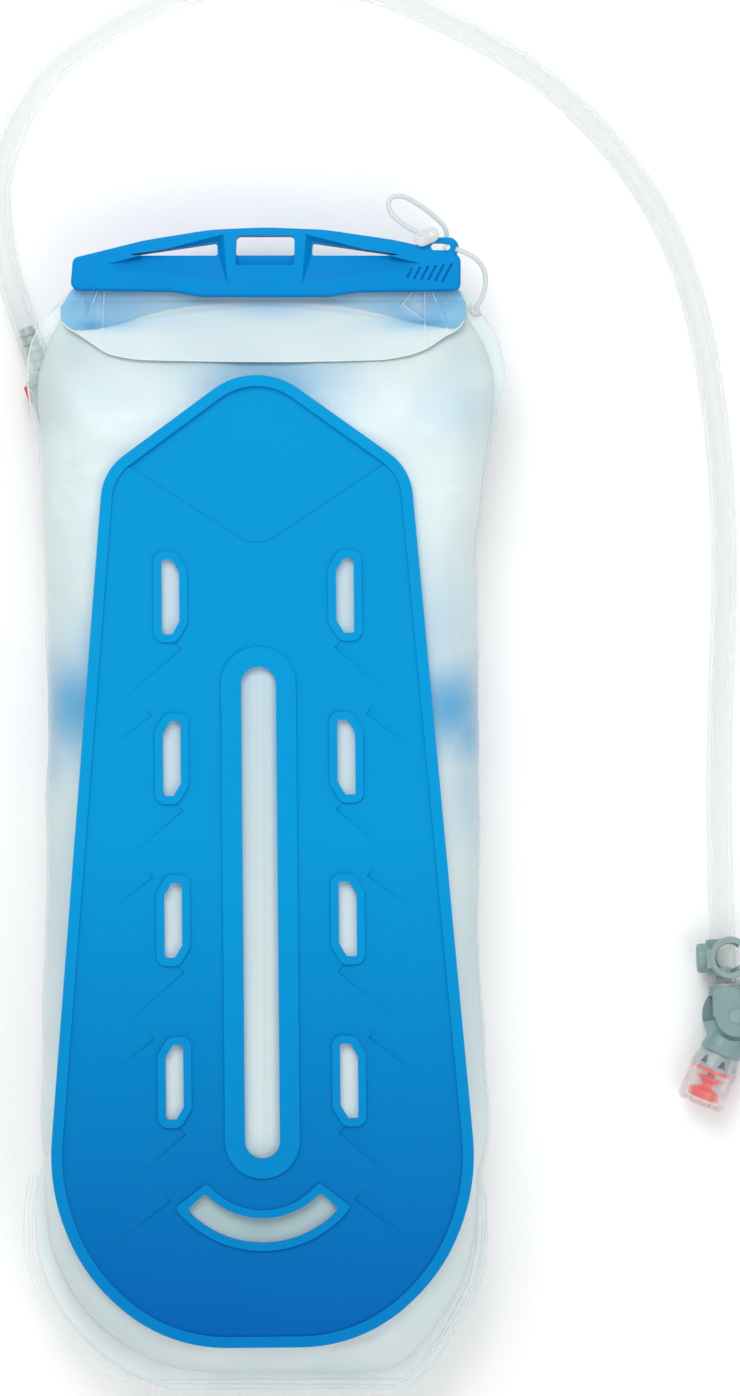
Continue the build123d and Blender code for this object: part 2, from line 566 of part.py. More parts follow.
# ---- magnet clip on the hose --------------------------------------------------------------
CLIP = Plane(origin=hose_end + back_up * CLIP_DROP, x_dir=valve_right, z_dir=Vector(0, 0, 1))
along = Rot(90, 0, 0)
clip_r = HOSE_OD / 2 + CLIP_FIT + CLIP_WALL
ring_x = 2.4
ring_r = RING_BORE / 2 + RING_WALL
ring_low = HOSE_OD / 2 + 0.35
SADDLE_EDGE = 1.6           # the saddle round the hose ends this far over the hose's axis
boss_x = (-9.6, -4.9)
magnet_r = MAGNET_D / 2
clip_ring = along * Cylinder(clip_r, CLIP_LENGTH)
boss = Pos(boss_x[0], 0, 0) * Rot(0, 90, 0) * Cylinder(
    magnet_r + 1.2, boss_x[1] - boss_x[0], align=(Align.CENTER, Align.CENTER, Align.MIN))
boss = fillet(boss.edges().group_by(Axis.X)[0], 1.1)
post = block((-6.2, -2.2), (-3.6, 3.6), (0.0, ring_low + RING_THICKNESS - 0.4))
ring = Pos(ring_x, 0, ring_low) * Cylinder(
    ring_r, RING_THICKNESS, align=(Align.CENTER, Align.CENTER, Align.MIN))
ring = fillet(ring.edges().group_by(Axis.Z)[-1], 0.7)
clip_ring = clip_ring + boss + post + ring
clip_ring -= along * Cylinder(HOSE_OD / 2 + CLIP_FIT, CLIP_LENGTH + 2)
clip_ring -= Pos(ring_x, 0, SADDLE_EDGE) * Cylinder(
    RING_BORE / 2, ring_low + RING_THICKNESS + 1, align=(Align.CENTER, Align.CENTER, Align.MIN))
clip_ring -= Pos(ring_x, 0, 0) * Cylinder(RING_BORE / 2 - 1.0, 4 * clip_r)
magnet_x = (boss_x[0] + 0.8, boss_x[0] + 0.8 + MAGNET_THICKNESS)
magnet_space = Pos(magnet_x[0] - 2, 0, 0) * Rot(0, 90, 0) * Cylinder(
    magnet_r + 0.05, MAGNET_THICKNESS + 2.05, align=(Align.CENTER, Align.CENTER, Align.MIN))
clip_ring = CLIP * (clip_ring - magnet_space)
magnet = CLIP * Pos(magnet_x[0], 0, 0) * Rot(0, 90, 0) * Cylinder(
    magnet_r, MAGNET_THICKNESS, align=(Align.CENTER, Align.CENTER, Align.MIN))
magnet_cap = CLIP * Pos(boss_x[0] + 0.05, 0, 0) * Rot(0, 90, 0) * Cylinder(
    magnet_r, 0.72, align=(Align.CENTER, Align.CENTER, Align.MIN))

# ---- backer plate -------------------------------------------------------------------------
SHOULDER_X, LOW_X = HALF - PLATE_TOP_INSET, HALF - PLATE_LOW_INSET
plate_tip = PLATE_FOOT + PLATE_LENGTH
PLATE_POINTS = [
    (0.0, plate_tip + 5.7), (SHOULDER_X, plate_tip - 34.6), (LOW_X, PLATE_FOOT + 58.0),
    (LOW_X - 12.5, PLATE_FOOT + 27.0), (LOW_X - 41.5, PLATE_FOOT),
]
PLATE_RADII = [26.0, 20.0, 74.0, 66.0, 58.0]


def plate_outline():
    left = [(-x, y) for x, y in reversed(PLATE_POINTS[1:])]
    return outline(PLATE_POINTS + left, PLATE_RADII + list(reversed(PLATE_RADII[1:])))


def window(side, row):
    """One slanted window: side is -1 or 1, row counts from the top. Chamfers face the middle."""
    x, h, w = side * WINDOW_OFFSET, WINDOW_HEIGHT / 2, WINDOW_WIDTH / 2
    y = PLATE_MID_Y + WINDOW_PITCH * (1.635 - row)
    inner, outer, cut = -side * w, side * w, 4.6
    top_cut = inner if row == 0 else outer
    points = [(inner, -h + cut), (inner, h - cut), (inner * 0.15, h), (outer, h), (outer, -h),
              (inner * 0.15, -h)]
    if top_cut == outer:
        points = [(inner, -h + cut), (inner, h), (outer * 0.15, h), (outer, h - cut), (outer, -h),
                  (inner * 0.15, -h)]
    return [(x + px, y + py) for px, py in points]


def smile(inner, outer, half_angle):
    """An arc-shaped slot, open upwards, about a point over the plate's foot."""
    centre = (0.0, PLATE_FOOT + 75.0)

    def at(radius, angle):
        return (centre[0] + radius * sin(radians(angle)), centre[1] - radius * cos(radians(angle)))

    ends = [at(inner, -half_angle), at(inner, half_angle), at(outer, half_angle),
            at(outer, -half_angle)]
    face = make_face([
        ThreePointArc(ends[0], at(inner, 0), ends[1]), Line(ends[1], ends[2]),
        ThreePointArc(ends[2], at(outer, 0), ends[3]), Line(ends[3], ends[0])])
    return fillet(face.vertices(), 1.6)


SMILE_IN, SMILE_OUT, SMILE_HALF = 28.3, 37.2, 47.5
slot_mid = PLATE_FOOT + 68.2 + SLOT_LENGTH / 2
slot_hole = Pos(0, slot_mid) * SlotOverall(SLOT_LENGTH, SLOT_WIDTH, rotation=90)
slot_edge = Pos(0, slot_mid) * SlotOverall(
    SLOT_LENGTH + 2 * SLOT_BORDER, SLOT_WIDTH + 2 * SLOT_BORDER, rotation=90)
plate_face = plate_outline()
plate = slab(plate_face, 0, PLATE_THICKNESS)
rim = slab(plate_face, PLATE_THICKNESS, PLATE_THICKNESS + PLATE_RELIEF)
rim -= slab(offset(plate_face, -RIM_WIDTH), 0, 2 * PLATE_THICKNESS)
holes = slab(slot_hole, -1, 2 * PLATE_THICKNESS)
borders = slab(slot_edge, PLATE_THICKNESS, PLATE_THICKNESS + PLATE_RELIEF)
borders += slab(smile(SMILE_IN - 2.9, SMILE_OUT + 2.9, SMILE_HALF + 5),
                PLATE_THICKNESS, PLATE_THICKNESS + PLATE_RELIEF)
holes += slab(smile(SMILE_IN, SMILE_OUT, SMILE_HALF), -1, 2 * PLATE_THICKNESS)
for side in (-1, 1):
    for row in range(4):
        shape = outline(window(side, row), [0.8] * 6)
        holes += slab(shape, -1, 2 * PLATE_THICKNESS)
        borders += slab(offset(shape, WINDOW_BORDER), PLATE_THICKNESS,
                        PLATE_THICKNESS + PLATE_RELIEF)
# The tip over the V crease stands a little lower than the rest of the plate.
CREASE = 0.8
inside_rim = offset(plate_face, -RIM_WIDTH)
v_points = [(0, plate_tip - 63.5), (70, plate_tip - 17.5), (70, plate_tip + 30),
            (-70, plate_tip + 30), (-70, plate_tip - 17.5)]
tip_field = outline(v_points, [12, 0, 0, 0, 0]) & inside_rim
plate -= slab(tip_field, PLATE_THICKNESS - CREASE, 2 * PLATE_THICKNESS)
# Creases that run outwards and down beside each window: a steep side, then a ramp up again.
CREASE_DEPTH = 0.7


def fading_crease(start, reach, width):
    """A wedge from a start point to a far point, deepest at its start, a ramp to one side."""
    run = Vector(*reach) - Vector(*start)
    across = Vector(-run.Y, run.X, 0).normalized() * (-width if run.X < 0 else width)
    top = PLATE_THICKNESS + 0.02
    faces = []
    for at, share in ((Vector(*start), 1.0), (Vector(*reach), 0.05)):
        ramp = at + across * share
        faces.append(make_face(Polyline(
            (at.X, at.Y, top), (ramp.X, ramp.Y, top),
            (at.X, at.Y, top - CREASE_DEPTH * share), close=True)))
    return loft(faces, ruled=True)


for side in (-1, 1):
    for row in range(4):
        y = PLATE_MID_Y + WINDOW_PITCH * (1.635 - row)
        plate -= fading_crease((side * 27.5, y - 19.0), (side * 50.0, y - 38.0), 6.0)
        if row > 0:
            plate -= fading_crease((side * 38.5, y + 15.5), (side * 55.0, y + 3.0), 5.0)
    plate -= fading_crease((side * 33.0, PLATE_FOOT + 53.0), (side * 56.0, PLATE_FOOT + 36.0), 5.5)
plate = plate + rim + borders - holes
plate_place = Pos(-1.4, PLATE_MID_Y, PLATE_Z) * Rot(0, 0, PLATE_TILT) * Pos(0, -PLATE_MID_Y, 0)
backer_plate = plate_place * plate

# ---- folded mouth, rails and coloured strip ------------------------------------------------
mouth_rail_back = block((-RAIL_HALF, RAIL_HALF), (RAIL_LOW_Y, RAIL_TOP_Y), RAIL_BACK_Z)
mouth_rail_front = block((-RAIL_HALF, RAIL_HALF), (RAIL_LOW_Y, RAIL_TOP_Y), RAIL_FRONT_Z)
mouth_rail_back = fillet(mouth_rail_back.edges().filter_by(Axis.X), 0.6)
mouth_rail_front = fillet(mouth_rail_front.edges().filter_by(Axis.X), 0.5)


NECK_RUN = 37.5            # the folded mouth would reach the bag's full depth this far down
NECK_SLOPE = (SEAM_Z - NECK_DEPTH / 2) / NECK_RUN
STRIP_GAP = 0.25


def draped(low, thickness, near, far, half):
    """A sheet over the neck: flat inside the slider, then sloping up onto the bag."""
    bend = MOUTH_Y - 1.0
    side = [(y, low + NECK_SLOPE * max(0.0, bend - y)) for y in (near, min(near, bend), far)]
    side = side[:1] + [point for point in side[1:] if point[0] < near]
    top = [(y, z + thickness) for y, z in reversed(side)]
    frame = Plane(origin=(0, 0, 0), x_dir=(0, 1, 0), z_dir=(1, 0, 0))
    return extrude(frame * make_face(Polyline(*side, *top, close=True)), half, both=True)


FLAP_HALF = RAIL_HALF + 5.8
flap_shape = mirrored(
    [(RAIL_HALF - 1.5, RAIL_TOP_Y), (RAIL_HALF - 1.5, MOUTH_Y + 1.3), (FLAP_HALF, MOUTH_Y + 1.3),
     (FLAP_HALF, MOUTH_Y - 13.0), (FLAP_HALF - 11.0, MOUTH_Y - 22.0),
     (FLAP_HALF - 33.0, MOUTH_Y - 24.0)],
    [0, 0, 2.0, 3.0, 8.0, 12.0])
mouth_flap = draped(FLAP_Z, FLAP, RAIL_TOP_Y, MOUTH_Y - 30.0, FLAP_HALF)
mouth_flap &= slab(flap_shape, 0, BAG_DEPTH)
strip_half = FLAP_HALF - 0.4
strip_shape = mirrored(
    [(strip_half, MOUTH_Y - 1.6), (strip_half, MOUTH_Y - 11.0), (strip_half - 13.0, MOUTH_Y - 13.0),
     (strip_half - 30.0, MOUTH_Y - 9.0), (12.0, MOUTH_Y - 4.0)], [3, 2, 4, 12, 20])
mouth_strip = draped(FLAP_Z + FLAP + STRIP_GAP, STRIP, MOUTH_Y - 1.6, MOUTH_Y - 13.0, strip_half)
mouth_strip &= slab(strip_shape, 0, BAG_DEPTH)

# ---- slider bar ----------------------------------------------------------------------------
slider_face = outline(
    [
        (SLIDER_LEFT, MOUTH_Y + 2.4), (-34.0, MOUTH_Y + 1.9), (-23.0, MOUTH_Y), (23.0, MOUTH_Y),
        (34.0, MOUTH_Y + 1.7), (SLIDER_RIGHT, MOUTH_Y + 2.2), (SLIDER_RIGHT, TOP_Y - 9.6),
        (SLIDER_RIGHT - 14.5, TOP_Y - 6.8), (47.0, TOP_Y - 4.6), (22.0, TOP_Y - 0.9),
        (0.0, TOP_Y), (-20.0, TOP_Y - 0.9), (-43.5, TOP_Y - 4.7), (SLIDER_LEFT + 1.0, TOP_Y - 11.2),
    ],
    [3.0, 20, 20, 20, 20, 3.0, 4.0, 0, 60, 80, 120, 80, 60, 2.5],
)
ear_x, ear_y = SLIDER_RIGHT - 7.3, TOP_Y - 7.1
ear = Pos(ear_x, ear_y - 0.4) * SlotOverall(13.2, 7.6)
slider_bar = slab(slider_face, SLIDER_BACK, SLIDER_FRONT)
slider_bar = fillet(
    slider_bar.edges().group_by(Axis.Z)[-1] + slider_bar.edges().group_by(Axis.Z)[0], 1.2)
EAR_THICKNESS = 5.0
slider_bar -= block((ear_x - 7.0, SLIDER_RIGHT + 1), (TOP_Y - 10.8, TOP_Y + 1),
                    (SLIDER_BACK - 1, SLIDER_FRONT - EAR_THICKNESS))
ear_solid = slab(ear, SLIDER_FRONT - EAR_THICKNESS, SLIDER_FRONT - 0.2)
slider_bar += fillet(ear_solid.edges().group_by(Axis.Z)[-1], 0.8)
slider_bar -= slab(Pos(ear_x, ear_y) * SlotOverall(7.0, 2.6), SLIDER_BACK - 1, SLIDER_FRONT + 1)
# Channel for the rails, open at the left end, with a narrower mouth for film and flap.
channel_z = (RAIL_BACK_Z[0] - CHANNEL_CLEARANCE, RAIL_FRONT_Z[1] + CHANNEL_CLEARANCE)
slider_bar -= block((SLIDER_LEFT - 1, RAIL_HALF + CHANNEL_CLEARANCE),
                    (RAIL_LOW_Y - CHANNEL_CLEARANCE, RAIL_TOP_Y + CHANNEL_CLEARANCE), channel_z)
slider_bar -= block((SLIDER_LEFT - 1, SLIDER_RIGHT + 1), (MOUTH_Y - 1, RAIL_LOW_Y - 2.0),
                    (SEAM_Z - FILM - 0.8, FLAP_TOP_Z + 0.6))
slider_bar -= block((SLIDER_LEFT - 1, RAIL_HALF + CHANNEL_CLEARANCE), (MOUTH_Y - 1, RAIL_LOW_Y + 1),
                    (SEAM_Z - FILM - 0.8, FLAP_TOP_Z + 0.6))
# Grip windows: one in the middle, one long wedge each side in a sloping recess.
GRIP_Y = TOP_Y - 10.2
mid_window = outline([(-10.6, GRIP_Y), (10.8, GRIP_Y), (10.8, TOP_Y - 2.9), (-10.4, TOP_Y - 2.9)],
                     [0.8, 0.8, 1.6, 1.6])
slider_bar -= slab(mid_window, SLIDER_BACK - 1, SLIDER_FRONT + 1)
mid_recess = outline([(-10.6, GRIP_Y - 3.6), (10.8, GRIP_Y - 3.6), (10.8, GRIP_Y + 3),
                      (-10.4, GRIP_Y + 3)], [1.2, 1.2, 0, 0])
RECESS = 2.6
slider_bar -= slab(mid_recess, SLIDER_FRONT - RECESS, SLIDER_FRONT + 1)


WEDGE_MARGIN = 0.35         # the recess's floor stands back this far from the window's edge


def wedge(side, margin):
    """Window of one side of the grip, a long wedge, grown by a margin."""
    return [(side * (48.6 + margin), GRIP_Y + 0.3), (side * (17.4 - margin), TOP_Y - 5.3 + margin),
            (side * (17.2 - margin), GRIP_Y - margin), (side * (48.0 + margin), GRIP_Y - margin)]


for side in (-1, 1):
    through = outline(wedge(side, 0.0), [0, 1.0, 0.8, 0])
    slider_bar -= slab(through, SLIDER_BACK - 1, SLIDER_FRONT + 1)
    panel = [(side * 57.0, GRIP_Y - 3.2), (side * 15.0, TOP_Y - 2.6), (side * 13.4, MOUTH_Y + 4.0),
             (side * 54.0, MOUTH_Y + 9.2)]
    floor = Pos(0, 0, SLIDER_FRONT - RECESS - 0.6) * make_face(
        Polyline(*wedge(side, WEDGE_MARGIN), close=True))
    face = Pos(0, 0, SLIDER_FRONT + 0.01) * make_face(Polyline(*panel, close=True))
    slider_bar -= loft([face, floor], ruled=True)
# Slanted grip ribs at the right end.
RIBS = 6
for k in range(RIBS):
    frame = Pos(SLIDER_RIGHT - 5.0 - 2.7 * k, MOUTH_Y + 8.6, SLIDER_FRONT - 0.35) * Rot(0, 0, -28)
    slider_bar -= frame * Box(0.9, 7.6 - 0.7 * k, 1.0)

# ---- tether --------------------------------------------------------------------------------
tether = tube(TETHER_ROUTE, TETHER_D)
anchor_at = TETHER_ROUTE[0]
tether_anchor = Pos(anchor_at[0], anchor_at[1] - 0.2, LIP_TOP_Z) * Cylinder(
    1.9, 2.6, align=(Align.CENTER, Align.CENTER, Align.MIN))
tether_anchor = fillet(tether_anchor.edges().group_by(Axis.Z)[-1], 0.7)
through_x = ear_x + 1.6
LOOP_ROUTE = [
    (57.2, 209.6, SLIDER_FRONT + 1.4), (51.4, 212.6, SLIDER_FRONT + 1.2), (45.4, 217.6, SLIDER_FRONT),
    (44.8, 223.6, SLIDER_FRONT - 1.2), (50.8, 224.0, SLIDER_FRONT - 2.6),
    (59.2, 219.0, SLIDER_FRONT - 5.0), (66.4, 212.4, SLIDER_BACK + 7.4),
    (through_x + 0.4, ear_y + 0.6, SLIDER_BACK + 6.6),
]
loop = tube(LOOP_ROUTE, TETHER_D)
head = Pos(58.8, 208.9, SLIDER_FRONT + 0.25) * Rot(0, 0, 22) * extrude(SlotOverall(9.4, 5.8), 2.2)
head = fillet(head.edges().group_by(Axis.Z)[-1], 0.7)
for step in (-1.7, 1.9):
    head -= Pos(58.8, 208.9, SLIDER_FRONT) * Rot(0, 0, 22) * Pos(step, 0.2, 1) * Cylinder(0.85, 6)
stem = Pos(through_x, ear_y, SLIDER_BACK + 6.2) * Cylinder(
    TETHER_D / 2, SLIDER_DEPTH - 4.6, align=(Align.CENTER, Align.CENTER, Align.MIN))
tether_head = head + loop + stem

NODES = {
    "front_film": front_film, "back_film": back_film, "center_baffle": center_baffle,
    "backer_plate": backer_plate, "mouth_rail_front": mouth_rail_front,
    "mouth_rail_back": mouth_rail_back, "mouth_flap": mouth_flap, "mouth_strip": mouth_strip,
    "slider_bar": slider_bar, "tether": tether, "tether_anchor": tether_anchor,
    "tether_head": tether_head, "port_base": port_base, "port_seal": port_seal,
    "port_poppet": port_poppet, "poppet_guide": poppet_guide, "poppet_spring": poppet_spring,
    "coupling_body": coupling_body, "hose_barb": hose_barb, "release_button": release_button,
    "button_spring": button_spring, "hose": hose, "clip_ring": clip_ring, "magnet": magnet,
    "magnet_cap": magnet_cap, "valve_barb": valve_barb, "valve_body": valve_body,
    "pivot_pin": pivot_pin, "spout": spout, "valve_collar": valve_collar,
    "seal_disc": seal_disc, "plunger": plunger, "bite_sheath": bite_sheath,
}
for name, shape in NODES.items():
    save(shape, name)
print("pivot", pivot, "spout", spout_dir, "coupling axis", hose_out, "button axis", out_side)
print("hose end", hose_end, "up the hose", back_up)
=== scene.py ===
# %% [markdown]
# # A hydration bladder, piece by piece
# A soft drinking-water reservoir lies on its back: a frosted film bag, a stiff blue plate on its
# front, a blue slider over the folded mouth, a clear hose and a swivelling bite valve.
# The hard parts come from the CAD frame and get their finishes here. The soft ones are made
# here: the bag, the folded mouth, the hose and the tether. All sizes are in metres.

# %% Load the frame
import math

import bmesh
import bpy
import numpy as np
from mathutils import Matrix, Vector, noise


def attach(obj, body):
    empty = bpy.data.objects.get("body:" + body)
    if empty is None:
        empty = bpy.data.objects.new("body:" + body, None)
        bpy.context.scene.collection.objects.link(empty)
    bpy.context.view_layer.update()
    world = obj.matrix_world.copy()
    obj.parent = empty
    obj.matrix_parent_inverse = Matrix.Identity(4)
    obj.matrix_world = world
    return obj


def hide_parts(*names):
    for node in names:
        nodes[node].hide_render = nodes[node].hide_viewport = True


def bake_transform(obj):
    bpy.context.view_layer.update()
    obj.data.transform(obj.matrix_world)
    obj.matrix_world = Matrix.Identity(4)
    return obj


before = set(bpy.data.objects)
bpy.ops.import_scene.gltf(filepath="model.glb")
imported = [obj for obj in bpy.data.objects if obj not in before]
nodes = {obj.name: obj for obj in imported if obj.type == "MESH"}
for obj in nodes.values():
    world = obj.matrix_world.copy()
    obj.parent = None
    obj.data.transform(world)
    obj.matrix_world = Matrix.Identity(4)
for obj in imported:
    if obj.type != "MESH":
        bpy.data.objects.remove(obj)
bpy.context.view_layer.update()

# %% [markdown]
# ## Camera
# The bladder is seen straight from above. A long lens from almost three metres keeps the hose,
# which lies low, and the plate, which lies high, at nearly one scale.

# %% Camera
LENS, SENSOR = 200.0, 36.0
VIEW_HEIGHT = 0.5088
VIEW_CENTRE = (0.0383, 0.0412)
PLATE_LEVEL = 0.03
camera_data = bpy.data.cameras.new("camera")
camera_data.sensor_fit = "VERTICAL"
camera_data.sensor_height = SENSOR
camera_data.lens = LENS
camera_data.clip_end = 20
camera = bpy.data.objects.new("camera", camera_data)
camera.location = (*VIEW_CENTRE, PLATE_LEVEL + VIEW_HEIGHT * LENS / SENSOR)
bpy.context.scene.collection.objects.link(camera)
bpy.context.scene.camera = camera
print("camera at", tuple(round(v, 3) for v in camera.location))

# %% [markdown]
# ## Light and floor
# A pale table in a bright room. The sky gives most of the light, so shadows are faint. One wide
# lamp beyond the mouth end gives the film and the plate their soft gradient from top to foot; on
# the plate and the slider that gradient is also painted shade in their finish.

# %% Sky
world = bpy.data.worlds.new("studio")
bpy.context.scene.world = world
world.use_nodes = True
sky = world.node_tree.nodes["Background"]
sky.inputs["Color"].default_value = (1.0, 1.0, 1.0, 1.0)
sky.inputs["Strength"].default_value = 0.60
bpy.context.scene.view_settings.view_transform = "Standard"
bpy.context.scene.view_settings.look = "None"


# %% Lamps
def softbox(name, place, aim, size, watts):
    """A square lamp at a place, turned towards a point."""
    data = bpy.data.lights.new(name, "AREA")
    data.size, data.energy = size, watts
    lamp = bpy.data.objects.new(name, data)
    lamp.location = place
    lamp.rotation_euler = (Vector(aim) - Vector(place)).to_track_quat("-Z", "Y").to_euler()
    bpy.context.scene.collection.objects.link(lamp)
    return lamp


softbox("key", (-0.25, 0.85, 1.35), (0.0, 0.05, 0.0), 0.9, 12.5)
softbox("fill", (0.7, -0.75, 1.5), (0.05, -0.1, 0.0), 1.1, 7.5)

# %% Floor
FLOOR_HALF, FLOOR_LEVEL = 4.0, -0.0004
floor_mesh = bpy.data.meshes.new("floor")
corners = ((-1, -1), (1, -1), (1, 1), (-1, 1))
floor_mesh.from_pydata([(x * FLOOR_HALF, y * FLOOR_HALF, FLOOR_LEVEL) for x, y in corners], [],
                       [(0, 1, 2, 3)])
floor = bpy.data.objects.new("floor", floor_mesh)
bpy.context.scene.collection.objects.link(floor)
paper = bpy.data.materials.new("white_paper")
paper.use_nodes = True
paper_shader = paper.node_tree.nodes["Principled BSDF"]
paper_shader.inputs["Base Color"].default_value = (0.97, 0.97, 0.97, 1)
paper_shader.inputs["Roughness"].default_value = 0.9
paper_shader.inputs["Specular IOR Level"].default_value = 0.0
floor.data.materials.append(paper)


# %% [markdown]
# ## Finishes
# Every finish starts from one shader. Numbers that are the same all over go on its own sockets.
# Noise on Object coordinates gives tone and grain, so a pattern is as fine on a small part as on
# a large one, and doesn't need an unwrapped surface.

# %% Shader helpers
def new_finish(name, colour, roughness, **sockets):
    """A material and its shader, with sockets set by name."""
    material = bpy.data.materials.new(name)
    material.use_nodes = True
    shader = material.node_tree.nodes["Principled BSDF"]
    shader.inputs["Base Color"].default_value = (*colour, 1.0)
    shader.inputs["Roughness"].default_value = roughness
    for socket, value in sockets.items():
        shader.inputs[socket.replace("_", " ")].default_value = value
    return material, material.node_tree, shader


def cloud(tree, scale, detail=4.0, stretch=(1, 1, 1)):
    """Noise on Object coordinates; stretch makes it streaky."""
    place = tree.nodes.new("ShaderNodeTexCoord")
    shape = tree.nodes.new("ShaderNodeMapping")
    shape.inputs["Scale"].default_value = stretch
    texture = tree.nodes.new("ShaderNodeTexNoise")
    texture.inputs["Scale"].default_value = scale
    texture.inputs["Detail"].default_value = detail
    tree.links.new(place.outputs["Object"], shape.inputs["Vector"])
    tree.links.new(shape.outputs["Vector"], texture.inputs["Vector"])
    return texture.outputs["Fac"]


def spread(tree, value, low, high, to_low, to_high):
    """Value from low to high becomes to_low to to_high."""
    node = tree.nodes.new("ShaderNodeMapRange")
    node.inputs["From Min"].default_value = low
    node.inputs["From Max"].default_value = high
    node.inputs["To Min"].default_value = to_low
    node.inputs["To Max"].default_value = to_high
    tree.links.new(value, node.inputs["Value"])
    return node.outputs["Result"]


def blend_colours(tree, amount, first, second):
    """Mixes two colours, or linked colours, by a linked amount."""
    node = tree.nodes.new("ShaderNodeMix")
    node.data_type = "RGBA"
    tree.links.new(amount, node.inputs["Factor"])
    for socket, value in (("A", first), ("B", second)):
        target = [s for s in node.inputs if s.name == socket and s.type == "RGBA"][0]
        if isinstance(value, tuple):
            target.default_value = (*value, 1.0)
        else:
            tree.links.new(value, target)
    return [s for s in node.outputs if s.type == "RGBA"][0]


def bumps(tree, shader, layers):
    """Bump nodes in a chain: (height, strength, distance in metres) for each."""
    normal = None
    for height, strength, distance in layers:
        node = tree.nodes.new("ShaderNodeBump")
        node.inputs["Strength"].default_value = strength
        node.inputs["Distance"].default_value = distance
        tree.links.new(height, node.inputs["Height"])
        if normal is not None:
            tree.links.new(normal, node.inputs["Normal"])
        normal = node.outputs["Normal"]
    tree.links.new(normal, shader.inputs["Normal"])


def axis_value(tree, axis):
    """One Object coordinate, in metres."""
    place = tree.nodes.new("ShaderNodeTexCoord")
    split = tree.nodes.new("ShaderNodeSeparateXYZ")
    tree.links.new(place.outputs["Object"], split.inputs["Vector"])
    return split.outputs[axis]


# %% [markdown]
# ### Moulded plastics
# The plate and the slider are one blue, satin from a finely etched mould. Their blue is painted
# lighter at the mouth end and deeper towards the foot, as painted shade from the lamp beyond the
# mouth, and raised rims are painted a touch lighter, as a painted highlight. The valve and the
# coupling are a grey green.

# %% Blue plate and slider
def moulded_blue(name, top, foot, rim, y_range, z_range, etch):
    """Satin moulded blue, with painted shade deepening along Y and a painted highlight on rims.
    """
    material, tree, shader = new_finish(name, top, 0.42, Specular_IOR_Level=0.05)
    # painted shade: lighter at the mouth end, deeper towards the foot
    along = spread(tree, axis_value(tree, "Y"), y_range[0], y_range[1], 1.0, 0.0)
    base = blend_colours(tree, along, top, foot)
    # painted highlight: a lighter blue on the rims above a height
    rim_highlight_amount = spread(tree, axis_value(tree, "Z"), z_range[0], z_range[1], 0.0, 0.55)
    base = blend_colours(tree, rim_highlight_amount, base, rim)
    drift = spread(tree, cloud(tree, 14.0, 3.0), 0.35, 0.65, 0.0, 0.10)
    base = blend_colours(tree, drift, base, (0.0, 0.22, 0.60))
    tree.links.new(base, shader.inputs["Base Color"])
    rough = spread(tree, cloud(tree, 240.0, 5.0), 0.3, 0.7, 0.36, 0.50)
    tree.links.new(rough, shader.inputs["Roughness"])
    bumps(tree, shader, [(cloud(tree, 2600.0, 2.0), 0.10, etch),
                         (cloud(tree, 30.0, 2.0), 0.25, 0.0006)])
    return material


# Top and foot blues give the painted shade along each piece; the third blue is its painted rim
# highlight.
plate_blue = moulded_blue("plate_blue", (0.0, 0.285, 0.60), (0.0, 0.085, 0.37),
                          (0.0, 0.305, 0.66), (-0.215, -0.01), (0.0584, 0.0594), 0.0002)
slider_blue = moulded_blue("slider_blue", (0.0, 0.25, 0.60), (0.0, 0.19, 0.53),
                           (0.0, 0.26, 0.62), (0.185, 0.212), (0.0352, 0.0361), 0.0002)


# %% Grey green of the valve, clip and coupling
def moulded_grey(name, colour, light, roughness=0.38):
    """Grey green moulding with slight flow marks."""
    material, tree, shader = new_finish(name, colour, roughness, Specular_IOR_Level=0.45)
    flow = spread(tree, cloud(tree, 90.0, 4.0, (1.0, 0.35, 1.0)), 0.3, 0.7, 0.0, 1.0)
    tree.links.new(blend_colours(tree, flow, colour, light), shader.inputs["Base Color"])
    rough = spread(tree, cloud(tree, 700.0, 3.0), 0.3, 0.7, roughness - 0.05, roughness + 0.08)
    tree.links.new(rough, shader.inputs["Roughness"])
    bumps(tree, shader, [(cloud(tree, 3000.0, 2.0), 0.12, 0.00015)])
    return material


valve_grey = moulded_grey("valve_grey", (0.185, 0.295, 0.300), (0.230, 0.345, 0.345))
clip_grey = moulded_grey("clip_grey", (0.215, 0.325, 0.322), (0.270, 0.385, 0.380))
coupling_grey = moulded_grey("coupling_grey", (0.20, 0.27, 0.27), (0.27, 0.34, 0.34))
barb_grey = moulded_grey("barb_grey", (0.30, 0.37, 0.36), (0.46, 0.53, 0.52), 0.22)
collar_grey = moulded_grey("collar_grey", (0.27, 0.36, 0.37), (0.34, 0.42, 0.43))


# %% Red rubber and red plastic
def moulded_red(name, colour, light, roughness):
    """Red moulding, a little paler in random patches."""
    material, tree, shader = new_finish(name, colour, roughness, Specular_IOR_Level=0.5)
    patch = spread(tree, cloud(tree, 160.0, 3.0), 0.35, 0.65, 0.0, 1.0)
    tree.links.new(blend_colours(tree, patch, colour, light), shader.inputs["Base Color"])
    bumps(tree, shader, [(cloud(tree, 2400.0, 2.0), 0.15, 0.00015)])
    return material


plunger_red = moulded_red("plunger_red", (0.86, 0.045, 0.03), (0.95, 0.10, 0.07), 0.34)
button_red = moulded_red("button_red", (0.78, 0.035, 0.03), (0.85, 0.06, 0.05), 0.30)
disc_red = moulded_red("disc_red", (0.90, 0.07, 0.05), (0.97, 0.16, 0.12), 0.42)


# %% Metal, seal and frosted port
def drawn_steel():
    material, tree, shader = new_finish("drawn_steel", (0.56, 0.57, 0.58), 0.24, Metallic=1.0)
    lines = cloud(tree, 900.0, 2.0, (1.0, 6.0, 1.0))
    tree.links.new(spread(tree, lines, 0.3, 0.7, 0.18, 0.34), shader.inputs["Roughness"])
    bumps(tree, shader, [(lines, 0.10, 0.00005)])
    return material


